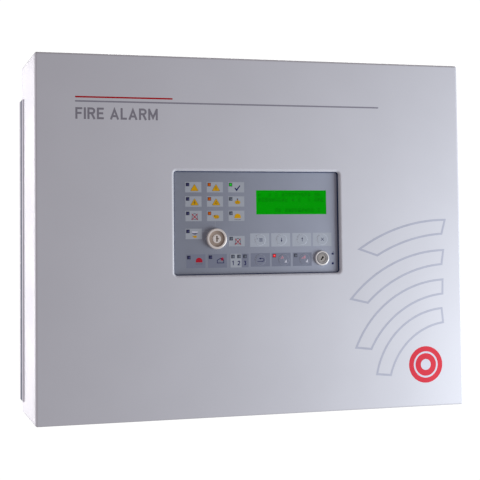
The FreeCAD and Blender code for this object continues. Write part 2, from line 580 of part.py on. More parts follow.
def battery_leads():
    """Red lead to the first battery, black lead from the second, and the link between them."""
    left_far = BATTERY_X[0] + TAB_INSET
    left_near = BATTERY_X[0] + BATTERY[0] - TAB_INSET
    right_near = BATTERY_X[1] + TAB_INSET
    right_far = BATTERY_X[1] + BATTERY[0] - TAB_INSET
    top = TAB_TOP - 5 + PLUG[2]
    mouth_z = MAIN_Z[0] + 14.0
    mouth_y = MAIN_TOP - 5.2
    red = lead([(left_far, TAB_Y, top - 2), (left_far, TAB_Y, top + 12), (left_far + 16, TAB_Y + 14, top + 26),
                (left_far + 42, TAB_Y + 26, top + 32), (-72.0, mouth_y - 12, mouth_z + 20),
                (-57.46, mouth_y, mouth_z + 14), (-57.46, mouth_y, mouth_z)], LEAD_D)
    black = lead([(right_far, TAB_Y, top - 2), (right_far, TAB_Y, top + 9), (right_far - 14, TAB_Y - 2, top + 19),
                  (right_far - 44, TAB_Y - 4, top + 15), (right_far - 84, TAB_Y + 2, top + 10),
                  (right_far - 122, TAB_Y + 14, top + 14), (-14.0, TAB_Y + 26, top + 38),
                  (-38.0, mouth_y - 8, mouth_z + 24),
                  (-42.22, mouth_y, mouth_z + 12), (-42.22, mouth_y, mouth_z)], LEAD_D)
    link = lead([(left_near, TAB_Y, top - 2), (left_near, TAB_Y, top + 8),
                 ((left_near + right_near) / 2, TAB_Y - 3, top + 15),
                 (right_near, TAB_Y, top + 8), (right_near, TAB_Y, top - 2)], LEAD_D)
    save("battery_leads_red", join([tab_sleeve(left_far), red]))
    save("battery_leads_black", join([tab_sleeve(right_far), black]),
         join([tab_sleeve(left_near), link, tab_sleeve(right_near)]))


# ---------------------------------------------------------------- leads across the hinge
RIBBON_T = 0.9
RIBBON_Z = (4.5, 29.5)
DISPLAY_HEADER_X = (-88.0, -79.0)
DISPLAY_HEADER_H = 13.8


def ribbon_cable():
    """Flat cable from the main board, past the hinge side, to the display board."""
    start_x, end_x = sum(HEADER_X) / 2, sum(DISPLAY_HEADER_X) / 2
    start_y = MAIN_TOP - HEADER_H
    end_y = Y_BOARD_BACK + DISPLAY_HEADER_H + 0.1
    route = [(start_x, start_y), (start_x, start_y - 18), (-210.0, -60.0), (-206.0, -78.0),
             (-184.0, -84.0), (-150.0, -78.0), (-112.0, -76.0), (end_x, -74.0), (end_x, end_y)]
    path = tube_path([Vector(x, y, RIBBON_Z[0]) for x, y in route])
    half = RIBBON_T / 2
    section = Part.makePolygon([Vector(start_x + dx, start_y, z) for dx, z in (
        (-half, RIBBON_Z[0]), (half, RIBBON_Z[0]), (half, RIBBON_Z[1]), (-half, RIBBON_Z[1]),
        (-half, RIBBON_Z[0]))])
    save("ribbon_cable", path.makePipeShell([section], True, False))
    save("display_header", header(DISPLAY_HEADER_X, HEADER_Z, Y_BOARD_BACK, DISPLAY_HEADER_H, 1))


EARTH_AT = (-205.0, -64.0)
EARTH_D = 3.6


def earth_stud(name, base, forward):
    """Threaded earth stud with two nuts, standing off a sheet in the direction given."""
    def span(a, b):
        return tuple(sorted((base + forward * a, base + forward * b)))
    stud = rod(EARTH_AT, 4.0, span(0, 13))
    nuts = [hexagon(EARTH_AT, 7.0, span(1, 4)), hexagon(EARTH_AT, 7.0, span(5.4, 8.4))]
    save(name, join([stud, *nuts]))


def earth_lug(y):
    """Ring lug round an earth stud, its barrel pointing down."""
    x, z = EARTH_AT
    ring = rod(EARTH_AT, 9.0, y).cut(rod(EARTH_AT, 4.4, (y[0] - 1, y[1] + 1)))
    neck = block((x - 2.2, x + 2.2), y, (z - 9, z - 3.2))
    barrel = Part.makeCylinder(2.4, 8, Vector(x, (y[0] + y[1]) / 2, z - 17), Vector(0, 0, 1))
    return join([ring, neck, barrel])


def earth_bond():
    """Earth studs on the box and the cover, and the lead that joins them past the hinge."""
    x, z = EARTH_AT
    earth_stud("box_earth_stud", Y_FLOOR, -1)
    earth_stud("cover_earth_stud", Y_COVER_INNER, 1)
    low_y = (Y_FLOOR - 5.2, Y_FLOOR - 4.2)
    high_y = (Y_COVER_INNER + 4.2, Y_COVER_INNER + 5.2)
    low, high = sum(low_y) / 2, sum(high_y) / 2
    wire = lead([(x, low, z - 12), (x, low, z - 24), (x - 1, low - 16, z - 38), (x - 3, -48, z - 44),
                 (x - 3, -74, z - 43), (x - 1, high + 14, z - 37), (x, high, z - 24), (x, high, z - 12)], EARTH_D)
    save("earth_lead", join([earth_lug(low_y), wire, earth_lug(high_y)]))


def main():
    """Build every piece."""
    os.makedirs("parts", exist_ok=True)
    front_cover()
    hinge()
    overlay_and_plate()
    lcd_module()
    display_board()
    buttons()
    key_switch()
    barrel_lock()
    latch_bracket()
    back_box()
    main_board()
    power_supply()
    batteries()
    battery_leads()
    ribbon_cable()
    earth_bond()


main()
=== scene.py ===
"""Looks of a wall-mounted fire alarm control panel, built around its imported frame.

The frame holds every moving and fixed part at its place. This file gives each of
them a finish, and adds the printing, the small electrical parts, the wiring and the
studio around them. Lengths written with MM are millimetres; the scene is in metres.
"""
from __future__ import annotations

import json
import logging
import math
import random
from dataclasses import dataclass, field
from enum import Enum
from typing import Iterable, Sequence

import bmesh
import bpy
from mathutils import Matrix, Vector

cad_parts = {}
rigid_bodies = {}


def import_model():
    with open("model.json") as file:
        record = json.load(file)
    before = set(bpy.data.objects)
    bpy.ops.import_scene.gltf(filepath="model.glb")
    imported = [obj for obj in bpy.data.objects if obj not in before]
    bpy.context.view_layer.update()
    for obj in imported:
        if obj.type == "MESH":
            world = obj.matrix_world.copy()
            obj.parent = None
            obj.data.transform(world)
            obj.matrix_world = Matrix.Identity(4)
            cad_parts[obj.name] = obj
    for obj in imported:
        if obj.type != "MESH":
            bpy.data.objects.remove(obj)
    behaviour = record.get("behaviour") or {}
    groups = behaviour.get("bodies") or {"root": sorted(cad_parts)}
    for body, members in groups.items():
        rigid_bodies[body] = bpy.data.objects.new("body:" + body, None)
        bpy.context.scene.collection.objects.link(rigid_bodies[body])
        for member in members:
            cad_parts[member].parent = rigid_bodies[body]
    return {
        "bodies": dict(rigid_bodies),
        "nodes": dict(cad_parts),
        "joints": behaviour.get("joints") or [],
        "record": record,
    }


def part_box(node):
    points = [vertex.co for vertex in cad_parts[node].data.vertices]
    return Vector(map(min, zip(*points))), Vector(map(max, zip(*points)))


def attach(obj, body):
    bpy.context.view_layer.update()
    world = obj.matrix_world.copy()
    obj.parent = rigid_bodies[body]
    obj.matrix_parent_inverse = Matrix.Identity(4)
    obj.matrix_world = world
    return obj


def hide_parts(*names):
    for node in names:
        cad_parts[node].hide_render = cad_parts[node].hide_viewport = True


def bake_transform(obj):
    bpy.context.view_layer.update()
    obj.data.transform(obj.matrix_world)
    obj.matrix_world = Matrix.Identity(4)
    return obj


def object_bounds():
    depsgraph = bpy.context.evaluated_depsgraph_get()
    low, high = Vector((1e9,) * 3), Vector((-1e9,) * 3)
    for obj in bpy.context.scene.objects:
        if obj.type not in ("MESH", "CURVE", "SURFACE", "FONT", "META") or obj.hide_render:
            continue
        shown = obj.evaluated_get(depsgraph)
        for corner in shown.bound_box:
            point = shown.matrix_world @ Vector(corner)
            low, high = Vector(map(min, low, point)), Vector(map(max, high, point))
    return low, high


LOG = logging.getLogger("panel")
MM = 0.001
SWITCH_CENTRE_MM = (-43.5, -2.6)
LOCK_CENTRE_MM = (69.1, -23.6)
LEG_PITCH_MM = 1.27

Point = tuple[float, float]
Outline = list[Point]
Colour = tuple[float, float, float, float]


# ---------------------------------------------------------------------- small tools
def linear(code: str) -> Colour:
    """Turn an sRGB hex colour into linear light.

    Args:
        code: Six hex digits, such as "D6D9E0".

    Returns:
        Red, green, blue and an alpha of one.
    """
    parts = [int(code[i:i + 2], 16) / 255 for i in (0, 2, 4)]
    return tuple(p / 12.92 if p <= 0.04045 else ((p + 0.055) / 1.055) ** 2.4 for p in parts) + (1.0,)


def add_node(tree: bpy.types.NodeTree, kind: str, settings: dict | None = None,
             inputs: dict | None = None) -> bpy.types.Node:
    """Add one node, set its properties, and set or link its inputs.

    Args:
        tree: The node tree to add to.
        kind: The node's type name.
        settings: Properties by name.
        inputs: Values or output sockets, by input name or index.

    Returns:
        The new node.
    """
    node = tree.nodes.new(kind)
    for key, value in (settings or {}).items():
        setattr(node, key, value)
    for key, value in (inputs or {}).items():
        if isinstance(value, bpy.types.NodeSocket):
            tree.links.new(value, node.inputs[key])
        else:
            node.inputs[key].default_value = value
    return node


def calc(tree: bpy.types.NodeTree, operation: str,
         *values: float | bpy.types.NodeSocket) -> bpy.types.NodeSocket:
    """Add a math node on these values or sockets.

    Args:
        tree: The node tree to add to.
        operation: The node's operation.
        values: Its inputs, in order.

    Returns:
        The socket of the result.
    """
    return add_node(tree, "ShaderNodeMath", {"operation": operation}, dict(enumerate(values))).outputs[0]


def per_mm(size: float) -> float:
    """Texture scale whose features are about this many millimetres across."""
    return 1.0 / (size * MM)


# ---------------------------------------------------------------------- finishes
@dataclass(frozen=True)
class Finish:
    """A surface with one main colour, a soft mottle and a fine relief."""

    name: str
    colour: str
    roughness: float
    metallic: float = 0.0
    ior: float = 1.5
    mottle: float = 0.06        # how far the colour drifts, as a share
    mottle_mm: float = 25.0
    grain_mm: float = 0.8
    relief_mm: float = 0.01
    wear: float = 0.04          # how far the roughness drifts

    def build(self) -> bpy.types.Material:
        """Make the material, with its own pattern added by dress().

        Returns:
            The finished material.
        """
        material = bpy.data.materials.new(self.name)
        material.use_nodes = True
        material.diffuse_color = linear(self.colour)
        tree = material.node_tree
        shader = tree.nodes["Principled BSDF"]
        shader.inputs["Metallic"].default_value = self.metallic
        if not self.metallic:
            shader.inputs["IOR"].default_value = self.ior
        place = add_node(tree, "ShaderNodeTexCoord").outputs["Object"]
        self.dress(tree, shader, place)
        return material

    def dress(self, tree: bpy.types.NodeTree, shader: bpy.types.Node, place: bpy.types.NodeSocket) -> None:
        """Add the mottle, the roughness drift and the fine relief."""
        self.mottled(tree, shader, place)
        self.grained(tree, shader, place)

    def mottled(self, tree: bpy.types.NodeTree, shader: bpy.types.Node, place: bpy.types.NodeSocket) -> None:
        """Let the colour and the roughness drift slowly over the surface."""
        base = linear(self.colour)
        drift = add_node(tree, "ShaderNodeTexNoise", inputs={
            "Vector": place, "Scale": per_mm(self.mottle_mm), "Detail": 3.0})
        tint = add_node(tree, "ShaderNodeValToRGB", inputs={0: drift.outputs["Fac"]})
        tint.color_ramp.elements[0].position, tint.color_ramp.elements[1].position = 0.3, 0.7
        tint.color_ramp.elements[0].color = tuple(c * (1 - self.mottle) for c in base[:3]) + (1,)
        tint.color_ramp.elements[1].color = tuple(min(1, c * (1 + self.mottle)) for c in base[:3]) + (1,)
        tree.links.new(tint.outputs["Color"], shader.inputs["Base Color"])
        rough = add_node(tree, "ShaderNodeMapRange", inputs={
            "Value": drift.outputs["Fac"], "From Min": 0.3, "From Max": 0.7,
            "To Min": max(0.02, self.roughness - self.wear), "To Max": self.roughness + self.wear})
        tree.links.new(rough.outputs["Result"], shader.inputs["Roughness"])

    def grained(self, tree: bpy.types.NodeTree, shader: bpy.types.Node, place: bpy.types.NodeSocket) -> None:
        """Raise a fine even grain."""
        grain = add_node(tree, "ShaderNodeTexNoise", inputs={
            "Vector": place, "Scale": per_mm(self.grain_mm), "Detail": 2.0})
        bump = add_node(tree, "ShaderNodeBump", inputs={
            "Height": grain.outputs["Fac"], "Distance": self.relief_mm * MM, "Strength": 1.0})
        tree.links.new(bump.outputs["Normal"], shader.inputs["Normal"])


@dataclass(frozen=True)
class TurnedMetal(Finish):
    """Plated brass turned on a lathe: rings round the piece's own axis catch the light."""

    centre_mm: Point = (0.0, 0.0)
    groove_mm: float = 0.5

    def grained(self, tree: bpy.types.NodeTree, shader: bpy.types.Node, place: bpy.types.NodeSocket) -> None:
        """Cut faint rings about an axis along Y."""
        shifted = add_node(tree, "ShaderNodeMapping", inputs={
            "Vector": place, "Location": (-self.centre_mm[0] * MM, 0, -self.centre_mm[1] * MM)})
        flat = add_node(tree, "ShaderNodeVectorMath", {"operation": "MULTIPLY"}, {
            0: shifted.outputs["Vector"], 1: (1.0, 0.0, 1.0)})
        radius = add_node(tree, "ShaderNodeVectorMath", {"operation": "LENGTH"}, {0: flat.outputs["Vector"]})
        turns = calc(tree, "MULTIPLY", radius.outputs["Value"], 2 * math.pi * per_mm(self.groove_mm))
        wave = calc(tree, "SINE", turns)
        bump = add_node(tree, "ShaderNodeBump", inputs={
            "Height": wave, "Distance": self.relief_mm * MM, "Strength": 0.6})
        tree.links.new(bump.outputs["Normal"], shader.inputs["Normal"])


@dataclass(frozen=True)
class SpangledZinc(Finish):
    """Galvanised sheet: zinc crystals a few millimetres across, each with its own sheen."""

    crystal_mm: float = 6.0

    def mottled(self, tree: bpy.types.NodeTree, shader: bpy.types.Node, place: bpy.types.NodeSocket) -> None:
        """Give each crystal its own shade and roughness."""
        cells = add_node(tree, "ShaderNodeTexVoronoi", inputs={
            "Vector": place, "Scale": per_mm(self.crystal_mm)})
        pick = add_node(tree, "ShaderNodeSeparateColor", inputs={0: cells.outputs["Color"]})
        base = linear(self.colour)
        tint = add_node(tree, "ShaderNodeValToRGB", inputs={0: pick.outputs[0]})
        tint.color_ramp.elements[0].color = tuple(c * (1 - self.mottle) for c in base[:3]) + (1,)
        tint.color_ramp.elements[1].color = tuple(min(1, c * (1 + self.mottle)) for c in base[:3]) + (1,)
        tree.links.new(tint.outputs["Color"], shader.inputs["Base Color"])
        rough = add_node(tree, "ShaderNodeMapRange", inputs={
            "Value": pick.outputs[1], "To Min": self.roughness - self.wear,
            "To Max": self.roughness + self.wear})
        tree.links.new(rough.outputs["Result"], shader.inputs["Roughness"])


@dataclass(frozen=True)
class HingeStrip(Finish):
    """Coated hinge with a dark blue-grey band of painted shade along the leaf on the cover, standing in for
    the shadow gap along the hinge.
    """

    painted_shade: str = "5E6878"
    painted_shade_mm: Point = (-20.0, -9.4)

    def mottled(self, tree: bpy.types.NodeTree, shader: bpy.types.Node, place: bpy.types.NodeSocket) -> None:
        """Paint shade on a band of the leaf, which ends before the knuckles."""
        super().mottled(tree, shader, place)
        coat = shader.inputs["Base Color"].links[0].from_socket
        split = add_node(tree, "ShaderNodeSeparateXYZ", inputs={0: place})
        low, high = self.painted_shade_mm
        # Painted shade: the leaf is darkened between these two depths.
        painted_shade = calc(tree, "COMPARE", split.outputs["Y"], (low + high) / 2 * MM, (high - low) / 2 * MM)
        both = add_node(tree, "ShaderNodeMix", {"data_type": "RGBA"}, {
            0: painted_shade, 6: coat, 7: linear(self.painted_shade)})
        tree.links.new(both.outputs[2], shader.inputs["Base Color"])


@dataclass(frozen=True)
class PaintedLightFilm(Finish):
    """Velvet film with painted light: its colour grows paler towards its right end, where more light falls.
    """

    lift: float = 1.5
    from_mm: float = -70.0
    to_mm: float = 92.0

    def mottled(self, tree: bpy.types.NodeTree, shader: bpy.types.Node, place: bpy.types.NodeSocket) -> None:
        """Let the colour grow paler from left to right, as painted light."""
        super().mottled(tree, shader, place)
        even = shader.inputs["Base Color"].links[0].from_socket
        split = add_node(tree, "ShaderNodeSeparateXYZ", inputs={0: place})
        painted_light_ramp = add_node(tree, "ShaderNodeMapRange", inputs={
            "Value": split.outputs["X"], "From Min": self.from_mm * MM, "From Max": self.to_mm * MM,
            "To Min": 1.0, "To Max": self.lift})
        paler = add_node(tree, "ShaderNodeVectorMath", {"operation": "SCALE"}, {
            0: even, "Scale": painted_light_ramp.outputs[0]})
        tree.links.new(paler.outputs[0], shader.inputs["Base Color"])


@dataclass(frozen=True)
class SolderMask(Finish):
    """Glass-epoxy board: copper tracks show as lighter green lines under the mask."""

    track_mm: float = 5.0

    def mottled(self, tree: bpy.types.NodeTree, shader: bpy.types.Node, place: bpy.types.NodeSocket) -> None:
        """Run tracks over the board in two directions, in patches."""
        patches = add_node(tree, "ShaderNodeTexVoronoi", {"distance": "CHEBYCHEV"}, {
            "Vector": place, "Scale": per_mm(self.track_mm * 5)})
        pick = add_node(tree, "ShaderNodeSeparateColor", inputs={0: patches.outputs["Color"]})
        split = add_node(tree, "ShaderNodeSeparateXYZ", inputs={0: place})
        side = calc(tree, "GREATER_THAN", pick.outputs[0], 0.5)
        along = add_node(tree, "ShaderNodeMix", {"data_type": "FLOAT"}, {
            0: side, 2: split.outputs["X"], 3: split.outputs["Z"]})
        turns = calc(tree, "MULTIPLY", along.outputs[0], 2 * math.pi * per_mm(self.track_mm / 2))
        wave = calc(tree, "SINE", turns)
        track = add_node(tree, "ShaderNodeMapRange", inputs={
            "Value": wave, "From Min": 0.35, "From Max": 0.6})
        base = linear(self.colour)
        tint = add_node(tree, "ShaderNodeValToRGB", inputs={0: track.outputs[0]})
        tint.color_ramp.elements[0].color = base
        tint.color_ramp.elements[1].color = tuple(min(1, c * 1.7 + 0.01) for c in base[:3]) + (1,)
        tree.links.new(tint.outputs["Color"], shader.inputs["Base Color"])
        shader.inputs["Roughness"].default_value = self.roughness


@dataclass(frozen=True)
class LitPlastic(Finish):
    """Clear tinted plastic with light behind it, brightest in the middle of its grain."""

    glow: float = 1.0

    def dress(self, tree: bpy.types.NodeTree, shader: bpy.types.Node, place: bpy.types.NodeSocket) -> None:
        """Add the glow to the ordinary surface."""
        super().dress(tree, shader, place)
        shader.inputs["Emission Color"].default_value = linear(self.colour)
        shader.inputs["Emission Strength"].default_value = self.glow


@dataclass(frozen=True)
class BacklitDisplay(Finish):
    """Green backlit character display: faint cells of dots on an even glow."""

    glow: float = 0.3
    origin_mm: Point = (0.0, 0.0)     # left and bottom edge of the characters
    cell_mm: Point = (3.55, 5.35)     # one character, with the space round it
    dot_mm: float = 0.6
    columns: int = 20
    rows: int = 4
    blank_row: float = 1.0            # counted from the lowest
    dark_share: float = 0.45          # of the dots in a written cell, how many stay clear
    empty_share: float = 0.28         # of the cells, how many stay empty

    def dress(self, tree: bpy.types.NodeTree, shader: bpy.types.Node, place: bpy.types.NodeSocket) -> None:
        """Draw random dots inside most of the cells, as seen a little off the display's best angle."""
        local = add_node(tree, "ShaderNodeMapping", {"vector_type": "TEXTURE"}, {
            "Vector": place, "Location": (self.origin_mm[0] * MM, 0, self.origin_mm[1] * MM),
            "Scale": (self.cell_mm[0] * MM, 1, self.cell_mm[1] * MM)})
        cell = add_node(tree, "ShaderNodeVectorMath", {"operation": "FLOOR"}, {0: local.outputs[0]})
        within = add_node(tree, "ShaderNodeVectorMath", {"operation": "FRACTION"}, {0: local.outputs[0]})
        dots = add_node(tree, "ShaderNodeVectorMath", {"operation": "MULTIPLY"}, {
            0: within.outputs[0], 1: (self.cell_mm[0] / self.dot_mm, 0, self.cell_mm[1] / self.dot_mm)})
        dot = add_node(tree, "ShaderNodeVectorMath", {"operation": "FLOOR"}, {0: dots.outputs[0]})
        seed = add_node(tree, "ShaderNodeVectorMath", {"operation": "MULTIPLY_ADD"}, {
            0: cell.outputs[0], 1: (17.0, 0.0, 31.0), 2: dot.outputs[0]})
        lit = add_node(tree, "ShaderNodeTexWhiteNoise", inputs={"Vector": seed.outputs[0]})
        on = calc(tree, "GREATER_THAN", lit.outputs["Value"], self.dark_share)
        cell_noise = add_node(tree, "ShaderNodeTexWhiteNoise", inputs={"Vector": cell.outputs[0]})
        used = calc(tree, "GREATER_THAN", cell_noise.outputs["Value"], self.empty_share)
        edges = add_node(tree, "ShaderNodeSeparateXYZ", inputs={0: within.outputs[0]})
        row = add_node(tree, "ShaderNodeSeparateXYZ", inputs={0: cell.outputs[0]})
        on_line = self._between(tree, row.outputs["X"], -0.5, self.columns - 0.5)
        on_page = self._between(tree, row.outputs["Z"], -0.5, self.rows - 0.5)
        inside = self._between(tree, edges.outputs["X"], 0.10, 0.90)
        inside_z = self._between(tree, edges.outputs["Z"], 0.12, 0.90)
        blank = calc(tree, "COMPARE", row.outputs["Z"], self.blank_row, 0.4)
        written = calc(tree, "SUBTRACT", 1.0, blank)
        product = on
        for factor in (used, inside, inside_z, on_line, on_page, written):
            product = calc(tree, "MULTIPLY", product, factor)
        base = linear(self.colour)
        tint = add_node(tree, "ShaderNodeValToRGB", inputs={0: product})
        tint.color_ramp.elements[0].color = base
        tint.color_ramp.elements[1].color = tuple(c * 0.6 for c in base[:3]) + (1,)
        shader.inputs["Base Color"].default_value = linear("001203")
        tree.links.new(tint.outputs["Color"], shader.inputs["Emission Color"])
        shader.inputs["Emission Strength"].default_value = self.glow
        shader.inputs["Roughness"].default_value = self.roughness

    @staticmethod
    def _between(tree: bpy.types.NodeTree, value: bpy.types.NodeSocket, low: float,
                 high: float) -> bpy.types.NodeSocket:
        """One where the value lies between two limits, else zero."""
        middle, half = (low + high) / 2, (high - low) / 2
        return calc(tree, "COMPARE", value, middle, half)


@dataclass(frozen=True)
class ClearSheet(Finish):
    """Clear unprinted window of the film: shows what is behind, with a faint surface."""

    cover: float = 0.08

    def dress(self, tree: bpy.types.NodeTree, shader: bpy.types.Node, place: bpy.types.NodeSocket) -> None:
        """Thin the surface out."""
        super().dress(tree, shader, place)
        shader.inputs["Alpha"].default_value = self.cover


@dataclass(frozen=True)
class StripedWire(Finish):
    """PVC insulation in two colours, in stripes along the lead."""

    second: str = "2E7D32"
    stripe_mm: float = 7.0

    def mottled(self, tree: bpy.types.NodeTree, shader: bpy.types.Node, place: bpy.types.NodeSocket) -> None:
        """Wind the second colour round the lead."""
        bands = add_node(tree, "ShaderNodeTexWave", {"bands_direction": "DIAGONAL"}, {
            "Vector": place, "Scale": per_mm(self.stripe_mm) / 20, "Distortion": 0.0})
        tint = add_node(tree, "ShaderNodeValToRGB", {}, {0: bands.outputs["Fac"]})
        tint.color_ramp.interpolation = "CONSTANT"
        tint.color_ramp.elements[0].color = linear(self.colour)
        tint.color_ramp.elements[1].color = linear(self.second)
        tint.color_ramp.elements[1].position = 0.5
        tree.links.new(tint.outputs["Color"], shader.inputs["Base Color"])
        shader.inputs["Roughness"].default_value = self.roughness


